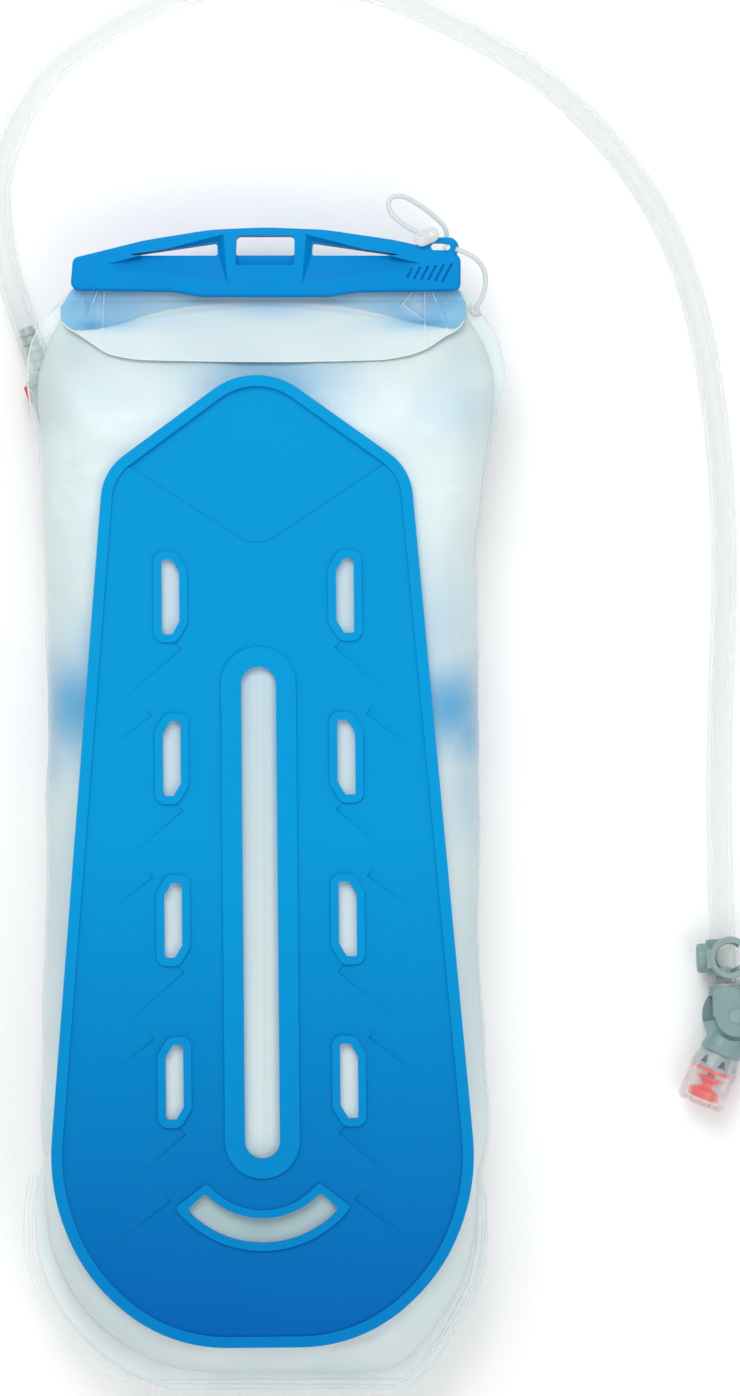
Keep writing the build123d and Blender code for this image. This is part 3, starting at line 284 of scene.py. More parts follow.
def seal_rubber():
    material, tree, shader = new_finish("seal_rubber", (0.018, 0.018, 0.020), 0.5)
    dust = spread(tree, cloud(tree, 500.0, 4.0), 0.4, 0.7, 0.0, 0.5)
    tree.links.new(blend_colours(tree, dust, (0.018, 0.018, 0.02), (0.05, 0.05, 0.05)),
                   shader.inputs["Base Color"])
    return material


def frosted_port():
    material, tree, shader = new_finish("frosted_port", (0.66, 0.74, 0.74), 0.42)
    haze = spread(tree, cloud(tree, 120.0, 4.0), 0.3, 0.7, 0.0, 1.0)
    tree.links.new(blend_colours(tree, haze, (0.62, 0.70, 0.70), (0.74, 0.81, 0.81)),
                   shader.inputs["Base Color"])
    bumps(tree, shader, [(cloud(tree, 1800.0, 2.0), 0.2, 0.0002)])
    return material


steel, seal_black, port_white = drawn_steel(), seal_rubber(), frosted_port()


# %% [markdown]
# ### Clear and frosted films
# The hose and the bite sheath are clear, with a bore, so light bends through two walls. The bag's
# film is frosted: milky, with a soft sheen. How much it covers, how blue it is and its painted
# shade are painted on the bag's own points; its blue is painted light, light that has come
# through the blue plate into the bag.

# %% Clear soft plastic
def clear_soft(name, tint, roughness, ripple, clear, cover, edge=None):
    """Clear flexible plastic with a faint ripple from drawing, denser where it turns away."""
    material, tree, shader = new_finish(name, tint, roughness, Transmission_Weight=clear,
                                        IOR=1.30, Alpha=cover)
    tree.links.new(spread(tree, cloud(tree, 400.0, 3.0), 0.3, 0.7, roughness * 0.6,
                          roughness * 1.5), shader.inputs["Roughness"])
    bumps(tree, shader, [(cloud(tree, 90.0, 2.0), 0.08, ripple)])
    if edge is not None:
        turned = tree.nodes.new("ShaderNodeLayerWeight")
        turned.inputs["Blend"].default_value = 0.5
        tree.links.new(spread(tree, turned.outputs["Facing"], 0.1, 0.8, cover, edge),
                       shader.inputs["Alpha"])
    return material


hose_clear = clear_soft("hose_clear", (0.82, 0.885, 0.875), 0.08, 0.00003, 0.45, 0.08, 0.42)
sheath_clear = clear_soft("sheath_clear", (0.92, 0.935, 0.945), 0.05, 0.0001, 0.85, 0.42)
tether_clear = clear_soft("tether_clear", (0.74, 0.79, 0.77), 0.16, 0.0002, 0.25, 0.86)


# %% Frosted film
def frosted_film(name, milk, shade, blue, cover):
    """Milky film; its 'blue', its painted shade and its 'cover' are painted on the piece's
    points.
    """
    material, tree, shader = new_finish(name, milk, 0.36, Specular_IOR_Level=0.42)
    tint = tree.nodes.new("ShaderNodeAttribute")
    tint.attribute_name = "blue"
    veil = tree.nodes.new("ShaderNodeAttribute")
    veil.attribute_name = "cover"
    painted_shade = tree.nodes.new("ShaderNodeAttribute")
    painted_shade.attribute_name = "painted_shade"
    haze = spread(tree, cloud(tree, 26.0, 3.0, (1.0, 0.4, 1.0)), 0.35, 0.65, 0.0, 1.0)
    base = blend_colours(tree, haze, milk, shade)
    # painted shade: a dark grey teal where the points carry painted shade
    base = blend_colours(tree, painted_shade.outputs["Fac"], base, (0.36, 0.52, 0.53))
    # the blue tint: painted blue light from the plate on the bag, painted shade along the creases
    # on the mouth strip, the blue strip showing through on the fold
    base = blend_colours(tree, tint.outputs["Fac"], base, blue)
    tree.links.new(base, shader.inputs["Base Color"])
    tree.links.new(spread(tree, veil.outputs["Fac"], 0.0, 1.0, 0.0, cover),
                   shader.inputs["Alpha"])
    tree.links.new(spread(tree, cloud(tree, 320.0, 4.0), 0.3, 0.7, 0.30, 0.46),
                   shader.inputs["Roughness"])
    bumps(tree, shader, [(cloud(tree, 1500.0, 2.0), 0.08, 0.0002),
                         (cloud(tree, 60.0, 3.0, (1.0, 0.35, 1.0)), 0.25, 0.0012)])
    return material


# Each film's last colour is its blue: on the bag it is painted light from the plate, on the mouth
# strip painted shade along its creases.
bag_frost = frosted_film("bag_frost", (0.83, 0.935, 0.93), (0.75, 0.875, 0.885),
                         (0.10, 0.43, 0.74), 0.97)
mouth_frost = frosted_film("mouth_frost", (0.78, 0.89, 0.90), (0.72, 0.85, 0.88),
                           (0.24, 0.60, 0.86), 0.97)
band_blue = frosted_film("band_blue", (0.25, 0.60, 0.87), (0.30, 0.66, 0.90),
                         (0.05, 0.36, 0.72), 0.97)
weld_frost = frosted_film("weld_frost", (0.94, 0.97, 0.965), (0.90, 0.95, 0.945),
                          (0.24, 0.60, 0.86), 0.97)

# %% Give the CAD nodes their finishes
NODE_FINISH = {
    "backer_plate": plate_blue, "slider_bar": slider_blue, "mouth_rail_front": slider_blue,
    "mouth_rail_back": slider_blue, "valve_body": valve_grey, "spout": valve_grey,
    "pivot_pin": clip_grey, "valve_barb": barb_grey, "valve_collar": collar_grey,
    "clip_ring": clip_grey, "magnet_cap": clip_grey, "magnet": steel, "poppet_spring": steel,
    "button_spring": steel, "coupling_body": coupling_grey, "hose_barb": barb_grey,
    "release_button": button_red, "seal_disc": disc_red, "plunger": plunger_red,
    "port_seal": seal_black, "port_base": port_white, "poppet_guide": port_white,
    "port_poppet": port_white, "bite_sheath": sheath_clear, "tether_anchor": tether_clear,
    "tether_head": tether_clear, "center_baffle": port_white,
}


def wear(node, material):
    """Puts one finish on a CAD node, leaving its mesh alone."""
    node.data.materials.clear()
    node.data.materials.append(material)


for name, material in NODE_FINISH.items():
    wear(nodes[name], material)
print("finished", len(NODE_FINISH), "CAD nodes")


# %% [markdown]
# ## Hose
# The hose is a clear tube of 9.5 mm with a 6.4 mm bore. It leaves the coupling under the left
# shoulder, goes up past the mouth, over in one wide arc and down the right side to the bite
# valve. Its line is one smooth spline. The tube is swept along it with an outer and an inner
# wall, because a solid rod would bend light quite differently.

# %% Spline and its points
HOSE_ROUTE = [
    (-0.0822, 0.1613, 0.0082), (-0.0908, 0.1837, 0.0082), (-0.0978, 0.2080, 0.0056),
    (-0.0990, 0.2360, 0.0048), (-0.0865, 0.2640, 0.0048), (-0.0660, 0.2835, 0.0048),
    (-0.0220, 0.3058, 0.0048), (0.0295, 0.3065, 0.0048), (0.0751, 0.2865, 0.0048),
    (0.1075, 0.2662, 0.0048), (0.1384, 0.2318, 0.0048), (0.1558, 0.1968, 0.0048),
    (0.1662, 0.1450, 0.0048), (0.1690, 0.0889, 0.0048), (0.1666, 0.0300, 0.0049),
    (0.1664, -0.0185, 0.0093), (0.1682, -0.0635, 0.0093),
]


def spline_points(name, route, steps=10):
    """Points along the smooth spline of a route."""
    curve = bpy.data.curves.new(name, "CURVE")
    curve.dimensions = "3D"
    spline = curve.splines.new("NURBS")
    spline.points.add(len(route) - 1)
    for point, place in zip(spline.points, route):
        point.co = (*place, 1.0)
    spline.order_u = 3
    spline.use_endpoint_u = True
    spline.resolution_u = steps
    holder = bpy.data.objects.new(name, curve)
    bpy.context.scene.collection.objects.link(holder)
    line = bpy.data.meshes.new_from_object(holder)
    points = np.array([v.co for v in line.vertices], float)
    bpy.data.objects.remove(holder)
    bpy.data.curves.remove(curve)
    bpy.data.meshes.remove(line)
    return points


def line_length(points):
    return float(np.linalg.norm(np.diff(points, axis=0), axis=1).sum())


hose_line = spline_points("hose_line", HOSE_ROUTE)
print("hose line", len(hose_line), "points,", round(line_length(hose_line) * 1000, 1), "mm")


# %% Sweep walls along points
def rings_along(points, radius, sides):
    """Circles square to a line, without twist, as an array (ring, side, 3)."""
    ahead = np.gradient(points, axis=0)
    ahead /= np.linalg.norm(ahead, axis=1)[:, None]
    side = np.cross(ahead[0], (0.0, 0.0, 1.0))
    side /= np.linalg.norm(side)
    rings = []
    angles = np.linspace(0, 2 * math.pi, sides, endpoint=False)
    radius = np.broadcast_to(radius, len(points))
    for at, forward, r in zip(points, ahead, radius):
        side = side - forward * side.dot(forward)
        side /= np.linalg.norm(side)
        up = np.cross(side, forward)
        rings.append(at + r * (np.cos(angles)[:, None] * side + np.sin(angles)[:, None] * up))
    return np.array(rings)


def add_piece(name, vertices, faces, material, slot, body=None):
    """A mesh piece at the origin with one finish, riding on a body."""
    mesh = bpy.data.meshes.new(name)
    mesh.from_pydata([tuple(v) for v in vertices], [], faces)
    mesh.validate()
    mesh.materials.append(material)
    mesh.shade_smooth()
    piece = bpy.data.objects.new(name, mesh)
    bpy.context.scene.collection.objects.link(piece)
    if body:
        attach(piece, body)
    return piece


def tube_faces(count, sides, start=0, flip=False):
    """Quads between successive rings."""
    faces = []
    for ring in range(count - 1):
        for k in range(sides):
            a, b = start + ring * sides + k, start + ring * sides + (k + 1) % sides
            quad = (a, b, b + sides, a + sides)
            faces.append(quad[::-1] if flip else quad)
    return faces


def hollow_tube(points, outer, inner, sides):
    """Vertices and faces of a tube with two walls and ring-shaped ends."""
    outside, inside = rings_along(points, outer, sides), rings_along(points, inner, sides)
    count = len(points)
    offset = count * sides
    faces = tube_faces(count, sides) + tube_faces(count, sides, offset, True)
    last = (count - 1) * sides
    for k in range(sides):
        n = (k + 1) % sides
        faces.append((k, offset + k, offset + n, n))
        faces.append((last + k, last + n, offset + last + n, offset + last + k))
    return np.concatenate([outside.reshape(-1, 3), inside.reshape(-1, 3)]), faces


def solid_tube(points, radius, sides):
    """Vertices and faces of a solid round cord with closed ends."""
    rings = rings_along(points, radius, sides)
    faces = tube_faces(len(points), sides)
    faces.append(tuple(range(sides)))
    faces.append(tuple((len(points) - 1) * sides + k for k in reversed(range(sides))))
    return rings.reshape(-1, 3), faces


def outwards(piece):
    """Turns every face of a closed piece outwards."""
    work = bmesh.new()
    work.from_mesh(piece.data)
    bmesh.ops.recalc_face_normals(work, faces=work.faces)
    work.to_mesh(piece.data)
    work.free()
    return piece


# %% The hose itself
HOSE_OUTER, HOSE_BORE, HOSE_SIDES = 0.0095 / 2, 0.0064 / 2, 32
hose_tube = add_piece("hose_tube", *hollow_tube(hose_line, HOSE_OUTER, HOSE_BORE, HOSE_SIDES),
                      hose_clear, "hose")
outwards(hose_tube)
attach(hose_tube, "hose_line")
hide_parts("hose")
print("hose tube", len(hose_tube.data.vertices), "points")

# %% [markdown]
# ## Tether
# A thin moulded cord holds the slider to the bag's right ear, so that it can't be lost. It runs
# in one free bow round the slider's end.

# %% Tether
TETHER_ROUTE = [
    (0.0764, 0.1826, 0.0304), (0.0802, 0.1880, 0.0315), (0.0806, 0.1966, 0.0345),
    (0.0758, 0.2024, 0.0370), (0.0694, 0.2044, 0.0377),
]
TETHER_RADIUS, TETHER_SIDES = 0.0009, 20
tether_line = spline_points("tether_line", TETHER_ROUTE, 8)
tether_cord = outwards(add_piece(
    "tether_cord", *solid_tube(tether_line, TETHER_RADIUS, TETHER_SIDES), tether_clear, "tether"))
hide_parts("tether")
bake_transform(tether_cord)
print("tether line", round(line_length(tether_line) * 1000, 1), "mm")

# %% [markdown]
# ## The film bag
# Two frosted films are welded round the edge and filled, so the bag is one closed form: flat
# under the plate, round down its sides, flat again in the weld ears at shoulders and foot. A
# cloth simulation could blow it up from flat, but its outline has to stay where the hard parts
# expect it. So each cross-section is drawn by rule, from the ear over the side to the top and
# back underneath, and the pulls and ripples of real film are moved into the points afterwards.

# %% Smooth curves through a few sizes
def flow(at, table):
    """A smooth curve through (position, value) pairs, in millimetres."""
    x, y = np.array(table, float).T
    h = np.diff(x)
    d = np.diff(y) / h
    m = np.empty_like(y)
    m[0], m[-1] = d[0], d[-1]
    same = d[:-1] * d[1:] > 0
    total = np.where(same, d[:-1] + d[1:], 1.0)
    m[1:-1] = np.where(same, 2 * d[:-1] * d[1:] / total, 0.0)
    k = np.clip(np.searchsorted(x, at, side="right") - 1, 0, len(x) - 2)
    t = (at - x[k]) / h[k]
    return ((2 * t**3 - 3 * t**2 + 1) * y[k] + (t**3 - 2 * t**2 + t) * h[k] * m[k]
            + (3 * t**2 - 2 * t**3) * y[k + 1] + (t**3 - t**2) * h[k] * m[k + 1])


def ease(value):
    """0 below 0, 1 above 1, smooth between."""
    t = np.clip(value, 0.0, 1.0)
    return t * t * (3 - 2 * t)


# %% Outline of the bag: position along the bag, edge of the weld
FOOT, MOUTH_LIP = -212.5, 199.0
SEAM_FRONT, SEAM_BACK = 28.3, 27.7
EDGE_LEFT = [
    (-212.5, -25), (-211.2, -34), (-207.6, -44.5), (-202.3, -54.3), (-192, -66.5),
    (-181.5, -74.9), (-170, -80.6), (-158, -83.6), (-147.6, -83.8), (-136, -82.4),
    (-126, -80.5), (-117, -81.5), (-100, -81.3), (-60, -80.6), (0, -79.6), (28.4, -79.2),
    (80, -80.0), (118, -81.8), (135.2, -83.0), (147, -85.8), (157.8, -87.2), (168, -86.0),
    (178, -81.5), (186, -74.6), (190, -70.5), (192.5, -67.0), (199, -66.5),
]
EDGE_RIGHT = [
    (-212.5, 46), (-211, 51), (-208, 55.6), (-200, 62.8), (-184.1, 73), (-170, 79.4),
    (-153.8, 81.8), (-141.8, 81.5), (-132.3, 79.5), (-124, 81.2), (-116, 81.9), (-75, 79.7),
    (-32.4, 77.7), (6.9, 78.4), (50, 77.6), (92.6, 77.6), (118, 80.0), (139.6, 83.9),
    (158.6, 87.2), (169.9, 85.4), (180, 79.6), (187, 73.0), (190, 70.3), (192.5, 67.0),
    (199, 66.5),
]
BAND = [(-212.5, 5.5), (-170, 6.0), (-150, 5.0), (-128, 1.6), (-110, 1.2), (110, 1.2),
        (135, 1.9), (145, 2.8), (153, 3.8), (165, 5.6), (176, 7.2), (184, 5.5), (190, 1.4),
        (199, 0.6)]
TOP = [(-212.5, 28.3), (-205.0, 28.4), (-203.5, 33.5), (-200, 42), (-194, 49.5), (-186, 54),
       (-176, 55.9), (134, 55.9), (142, 54.8), (151, 51.4), (160, 46.2), (170, 39.4),
       (180, 32.4), (185, 29.6), (187.5, 28.6), (199, 28.6)]
UNDER = [(-212.5, 27.8), (-205.0, 27.6), (-203.5, 22.5), (-200, 14.5), (-194, 6.8),
         (-186, 2.0), (-178, 0.3), (80, 0.3), (88, 2.2), (104, 13.0), (112, 15.8),
         (150, 16.6), (170, 18.5), (180, 22.5), (186, 27.1), (188, 27.5), (199, 27.5)]
rows = np.concatenate([FOOT + 12.5 * np.linspace(0, 1, 20, endpoint=False) ** 1.6,
                       np.arange(-200.0, 199.6, 1.9)])
rows[-1] = MOUTH_LIP
left_edge, right_edge = flow(rows, EDGE_LEFT), flow(rows, EDGE_RIGHT)
BODY_END, EARS_START = -204.6, -140.0
pulled = FOOT + (rows - BODY_END) * (EARS_START - FOOT) / (EARS_START - BODY_END)
stretched = np.maximum(np.where(rows < EARS_START, pulled, rows), FOOT)
body_left = np.maximum(flow(stretched, EDGE_LEFT) + flow(rows, BAND), left_edge + 0.5)
body_right = np.minimum(flow(stretched, EDGE_RIGHT) - flow(rows, BAND), right_edge - 0.5)
print("bag rows", len(rows), "widest", round(float((right_edge - left_edge).max()), 1), "mm")


# %% Cross-sections
EAR_STEPS, SIDE_STEPS, TOP_STEPS = 5, 17, 88


def half_section(low, level, corner, power):
    """One film across the bag, as (rows, points, 3): ear, side, top, side, ear."""
    seam = np.full(len(rows), low)[:, None]
    lift = (level - low)[:, None]
    left, right = body_left[:, None], body_right[:, None]
    reach = np.minimum(corner, 0.42 * (body_right - body_left))[:, None]
    s = np.linspace(0, 1, EAR_STEPS, endpoint=False)[None, :]
    turn = np.linspace(0, math.pi / 2, SIDE_STEPS, endpoint=False)[None, :]
    across = 1 - np.cos(turn) ** (2 / power)
    up = np.sin(turn) ** (2 / power)
    t = np.linspace(0, 1, TOP_STEPS)[None, :]
    x = [left_edge[:, None] + (left - left_edge[:, None]) * s, left + reach * across,
         left + reach + (right - left - 2 * reach) * t,
         (right - reach * across)[:, ::-1],
         (right_edge[:, None] + (right - right_edge[:, None]) * s)[:, ::-1]]
    z = [seam + 0 * s, seam + lift * up, seam + lift + 0 * t, (seam + lift * up)[:, ::-1],
         seam + 0 * s]
    x, z = np.concatenate(x, axis=1), np.concatenate(z, axis=1)
    return np.stack([x, np.broadcast_to(rows[:, None], x.shape), z], axis=2)


front = half_section(SEAM_FRONT, flow(rows, TOP), 25.0, 2.5)
back = half_section(SEAM_BACK, flow(rows, UNDER), 20.0, 2.6)
print("one film:", front.shape[0], "x", front.shape[1], "points")

# %% [markdown]
# Real film isn't smooth where it is pulled. Long shallow ripples run down the free strips beside
# the plate, fans of small pulls start at the slider's corners and at the notches where the weld
# ears begin, and in the plate's openings the film stands proud. Under the plate it stays flat.

# %% Noise and fans of pulls
PLATE_MIDDLE, SLOT_MIDDLE = -1.4, -0.9
PLATE_HALF = [(-212.5, 0), (-194, 0), (-193, 20), (-190, 38), (-180, 55), (-165, 67),
              (-140, 76), (-120, 77.5), (0, 68), (90, 58), (118, 55), (126, 50), (158, 0),
              (199, 0)]
PULLS = [  # centre, folds, turn, reach, depth
    ((-70.0, 188.0), 15, 0.4, 30.0, 0.55), ((70.0, 188.0), 15, 0.1, 30.0, 0.55),
    ((-82.0, -126.0), 13, 0.3, 17.0, 0.6), ((81.0, -132.0), 13, 0.8, 17.0, 0.6),
    ((-81.0, 122.0), 11, 0.2, 20.0, 0.45), ((80.0, 120.0), 11, 0.6, 20.0, 0.45)]
NOISE_GAIN = 1.6


def ripple(points, size, seed):
    """Smooth noise between -1 and 1 for each point, at a size in millimetres."""
    flat = points.reshape(-1, 3) / size + seed
    return np.array([noise.noise(Vector(p)) for p in flat]).reshape(points.shape[:2]) * NOISE_GAIN


def pull_fan(points, centre, folds, turn, reach, depth):
    """Small pulls that fan out from a point and fade with distance."""
    dx, dy = points[..., 0] - centre[0], points[..., 1] - centre[1]
    away = np.hypot(dx, dy)
    angle = np.arctan2(dy, dx) + turn
    return depth * np.sin(folds * angle) * np.exp(-((away / reach) ** 2)) * ease(away / 6.0)


# %% Ripples beside the plate
plate_half = flow(rows, PLATE_HALF)[:, None]
x, y = front[..., 0], front[..., 1]
beside = ease((np.abs(x - PLATE_MIDDLE) - plate_half - 1.0) / 7.0)
body_part = ease((front[..., 2] - 29.0) / 6.0)
stretch_soft = np.array([1.0, 0.35, 1.0])
waves = 0.95 * ripple(front * stretch_soft, 24.0, 3.1) + 0.45 * ripple(front, 11.0, 7.7)
for pull in PULLS:
    waves += pull_fan(front, *pull)
near_mouth = ease((172.0 - y) / 14.0)
front[..., 2] += waves * beside * body_part * near_mouth + 0.5 * beside * body_part * near_mouth

# %% The film in the plate's slot
slot_x = np.abs(x - SLOT_MIDDLE)
in_slot = ease((6.6 - slot_x) / 4.0) * ease((52 - y) / 6.0) * ease((y + 124) / 6.0)
front[..., 2] += 0.9 * in_slot
ridge = np.exp(-((slot_x / 1.3) ** 2)) * ease((47 - y) / 4.0) * ease((y + 122) / 5.0)
tear = np.exp(-((slot_x / 3.0) ** 2 + ((y - 44) / 4.2) ** 2) * 2.0)
front[..., 2] -= 0.7 * np.maximum(ridge, tear)


# %% Sides, underside and weld ears
def ripple_sides(film):
    """Moves the round sides of one film in and out."""
    x, y = film[..., 0], film[..., 1]
    outward = np.sign(x) * ease((np.abs(x) - 60) / 14.0)
    film[..., 0] += outward * (0.6 * ripple(np.stack([x * 0.2, y, y * 0], axis=2), 21.0, 5.3))


ripple_sides(front)
ripple_sides(back)
under_free = ease((26.0 - back[..., 2]) / 8.0) * ease(back[..., 2] / 6.0) * near_mouth
back[..., 2] += 0.6 * ripple(back * stretch_soft, 22.0, 9.2) * under_free
ear_part = (1 - ease(np.abs(front[..., 2] - SEAM_FRONT) / 0.2)) * ease((184 - y) / 4.0)
curl = 0.55 * ripple(np.stack([x, y, y * 0], axis=2), 17.0, 1.9) * ear_part
for film in (front, back):
    film[..., 2] += curl
print("ripples up to", round(float(np.abs(waves).max()), 2), "mm")

# %% Close the two films into one bag
count, across = front.shape[:2]
bag_points = np.concatenate([front, back[:, ::-1]], axis=1).reshape(-1, 3) * 0.001
ring = 2 * across
grid = np.arange(count * ring).reshape(count, ring)
turned = np.roll(grid, -1, axis=1)
bag_faces = np.stack([grid[:-1], turned[:-1], turned[1:], grid[1:]], axis=2).reshape(-1, 4)
ends = []
for row in (0, count - 1):
    for k in range(across - 1):
        ends.append(
            (grid[row, k], grid[row, k + 1], grid[row, ring - 2 - k], grid[row, ring - 1 - k]))
all_faces = [tuple(int(i) for i in face) for face in (*bag_faces, *ends)]
bag = add_piece("film_bag", bag_points, all_faces, bag_frost, "film", "reservoir")
outwards(bag)
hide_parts("front_film", "back_film")
print("bag", len(bag.data.polygons), "faces")


# %% [markdown]
# Painted light and shade on the frosted film: soft patches of painted blue light, light that has
# come through the blue plate, lie beside the plate and over its tip, and painted shade darkens
# the film where it turns down at the shoulders and the sides, under the edge of the folded mouth
# and in the plate's shadow inside its two slots. In the weld ears it covers less, since only two
# thin sheets lie there. Each patch is a soft spot painted on the points.

# %% Paint the film
def spots(points, patches):
    """Soft round or long spots: (x, y, half width, half height, strength)."""
    value = np.zeros(len(points))
    for cx, cy, wide, tall, strength in patches:
        d = ((points[:, 0] - cx) / wide) ** 2 + ((points[:, 1] - cy) / tall) ** 2
        value = np.maximum(value, strength * np.exp(-d))
    return value


def paint(piece, name, values):
    layer = piece.data.attributes.new(name, "FLOAT", "POINT")
    layer.data.foreach_set("value", np.clip(values, 0.0, 1.0).astype(np.float32))


flat_points = bag_points * 1000.0
# painted blue light: light that has come through the blue plate tints the film beside it, over
# its tip and in its openings
blue = spots(flat_points, [
    (-69, 38, 18, 19, 0.98), (-80, 24, 11, 18, 0.62), (-64, 54, 12, 16, 0.45),
    (68, 38, 17, 17, 1.0), (75, 30, 11, 15, 0.85), (62, 62, 14, 30, 0.34),
    (74, 8, 9, 22, 0.36), (2, 154, 27, 14, 0.80), (66, 146, 16, 13, 0.26),
    (-58, 150, 14, 10, 0.12), (-72, -40, 8, 45, 0.16), (74, -40, 8, 50, 0.12),
    (0, 60, 42, 60, 0.24)])
front_face = np.concatenate([np.ones(front.shape[:2]), np.zeros(back.shape[:2])],
                            axis=1).reshape(-1)
blue *= 0.35 + 0.65 * front_face
ear_all = np.concatenate([ear_part, ear_part[:, ::-1]], axis=1).reshape(-1)
cover = 0.80 - 0.43 * ear_all
cover -= 0.16 * spots(flat_points, [(-84, 160, 9, 26, 1.0)])
paint(bag, "blue", blue)
paint(bag, "cover", cover)
# painted shade at the shoulders and sides, under the fold's edge and in the plate's shadow in its
# slots
paint(bag, "painted_shade", spots(flat_points, [
    (-72, 166, 13, 12, 0.42), (-76, 150, 9, 14, 0.30), (73, 166, 11, 12, 0.36),
    (77, 148, 8, 15, 0.22), (0, 164, 60, 5, 0.16), (-72, -60, 5, 90, 0.12),
    (76, -60, 5, 90, 0.10), (0, -142, 36, 18, 1.0), (-1, -148, 18, 12, 1.0),
    (-1, -30, 9, 82, 0.26)]) * front_face)
print("painted", len(blue), "points")

# %% [markdown]
# ## Weld beads
# The weld shows as fine raised lines: three round the foot, one inside the other, and one along
# each shoulder. They repeat one outline at growing distances, so Geometry Nodes sweep a thin
# round bead along all of them at once, with the bead's size as an input.

# %% Lines for the beads
def inset_line(start, end, side, inset, wobble):
    """Points along the bag's edge from one place to another, moved inwards."""
    at = np.linspace(start, end, 70)
    edge = flow(at, EDGE_LEFT if side < 0 else EDGE_RIGHT)
    line = np.stack([edge, at], axis=1)
    along = np.gradient(line, axis=0)
    along /= np.linalg.norm(along, axis=1)[:, None]
    inward = np.stack([-along[:, 1], along[:, 0]], axis=1) * (1 if side > 0 else -1)
    shift = inset + 0.25 * np.sin(at * wobble + inset)
    return line + inward * shift[:, None]


FOOT_BEADS = ((1.3, 0.11), (2.6, 0.07), (4.2, 0.09))  # inset, wobble
SHOULDER_BEAD = (0.35, 0.13)
BEAD_LEVEL = 28.45
bead_lines = []
for inset, wobble in FOOT_BEADS:
    left_foot = inset_line(-133.0, FOOT + 0.4, -1, inset, wobble)
    right_foot = inset_line(FOOT + 0.4, -134.0, 1, inset, wobble)
    keep_left = left_foot[left_foot[:, 1] > FOOT + inset + 0.2]
    keep_right = right_foot[right_foot[:, 1] > FOOT + inset + 0.2]
    bead_lines.append(np.concatenate([keep_left, keep_right]))
bead_lines.append(inset_line(130.0, 185.0, -1, *SHOULDER_BEAD))
bead_lines.append(inset_line(132.0, 185.0, 1, *SHOULDER_BEAD))


def line_curve(name, lines, level):
    """A curve with one run per line; level gives the height at a point, in millimetres."""
    curve = bpy.data.curves.new(name, "CURVE")
    curve.dimensions = "3D"
    for line in lines:
        spline = curve.splines.new("POLY")
        spline.points.add(len(line) - 1)
        for point, (px, py) in zip(spline.points, line):
            point.co = (px * 0.001, py * 0.001, level(px, py) * 0.001, 1.0)
    return curve


bead_curve = line_curve("weld_beads", bead_lines, lambda px, py: BEAD_LEVEL)
print("bead lines", len(bead_lines))


# %% Node tree that sweeps a bead
WELD_RADIUS, CREASE_RADIUS = 0.00024, 0.00019


def input_socket(tree, name, kind, value):
    """A named input of a tree, with its value; gives the identifier that modifiers need."""
    socket = tree.interface.new_socket(name, in_out="INPUT", socket_type=kind)
    socket.default_value = value
    return socket.identifier


sweep_tree = bpy.data.node_groups.new("swept_bead", "GeometryNodeTree")
sweep_tree.interface.new_socket("Geometry", in_out="INPUT", socket_type="NodeSocketGeometry")
radius_id = input_socket(sweep_tree, "Bead radius", "NodeSocketFloat", 0.0002)
sweep_tree.interface.new_socket("Geometry", in_out="OUTPUT", socket_type="NodeSocketGeometry")
get, give = sweep_tree.nodes.new("NodeGroupInput"), sweep_tree.nodes.new("NodeGroupOutput")
circle = sweep_tree.nodes.new("GeometryNodeCurvePrimitiveCircle")
circle.inputs["Resolution"].default_value = 8
sweep = sweep_tree.nodes.new("GeometryNodeCurveToMesh")
sweep.inputs["Fill Caps"].default_value = True
real = sweep_tree.nodes.new("GeometryNodeRealizeInstances")
dress = sweep_tree.nodes.new("GeometryNodeSetMaterial")
dress.inputs["Material"].default_value = weld_frost
sweep_tree.links.new(get.outputs["Geometry"], sweep.inputs["Curve"])
sweep_tree.links.new(get.outputs["Bead radius"], circle.inputs["Radius"])
sweep_tree.links.new(circle.outputs["Curve"], sweep.inputs["Profile Curve"])
sweep_tree.links.new(sweep.outputs["Mesh"], real.inputs["Geometry"])
sweep_tree.links.new(real.outputs["Geometry"], dress.inputs["Geometry"])
sweep_tree.links.new(dress.outputs["Geometry"], give.inputs["Geometry"])


# %% Turn the tree's result into a plain piece
def made_real(name, data, tree, inputs, body):
    """Runs a node tree on some data and keeps the result as a plain mesh piece."""
    source = bpy.data.objects.new(name + "_source", data)
    bpy.context.scene.collection.objects.link(source)
    modifier = source.modifiers.new("nodes", "NODES")
    modifier.node_group = tree
    for identifier, value in inputs.items():
        modifier[identifier] = value
    bpy.context.view_layer.update()
    evaluated = source.evaluated_get(bpy.context.evaluated_depsgraph_get())
    mesh = bpy.data.meshes.new_from_object(evaluated)
    source.modifiers.remove(modifier)
    bpy.data.objects.remove(source)
    mesh.name = name
    piece = bpy.data.objects.new(name, mesh)
    bpy.context.scene.collection.objects.link(piece)
    outwards(piece)
    mesh.shade_smooth()
    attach(piece, body)
    print(name, len(mesh.polygons), "faces")
    return piece


weld_beads = made_real("weld_beads", bead_curve, sweep_tree, {radius_id: WELD_RADIUS},
                       "reservoir")
paint(weld_beads, "cover", np.full(len(weld_beads.data.vertices), 0.75))
paint(weld_beads, "blue", np.zeros(len(weld_beads.data.vertices)))

# %% [markdown]
# ## Folded mouth
# The bag's mouth is folded over once under the slider. The fold lies on the neck as a pale lens
# with a fine edge, with two sharp creases down its sides, and a blue strip welded in the mouth
# shows at both corners. Both are thin sheets drawn as grids, with the creases raised as ridges.

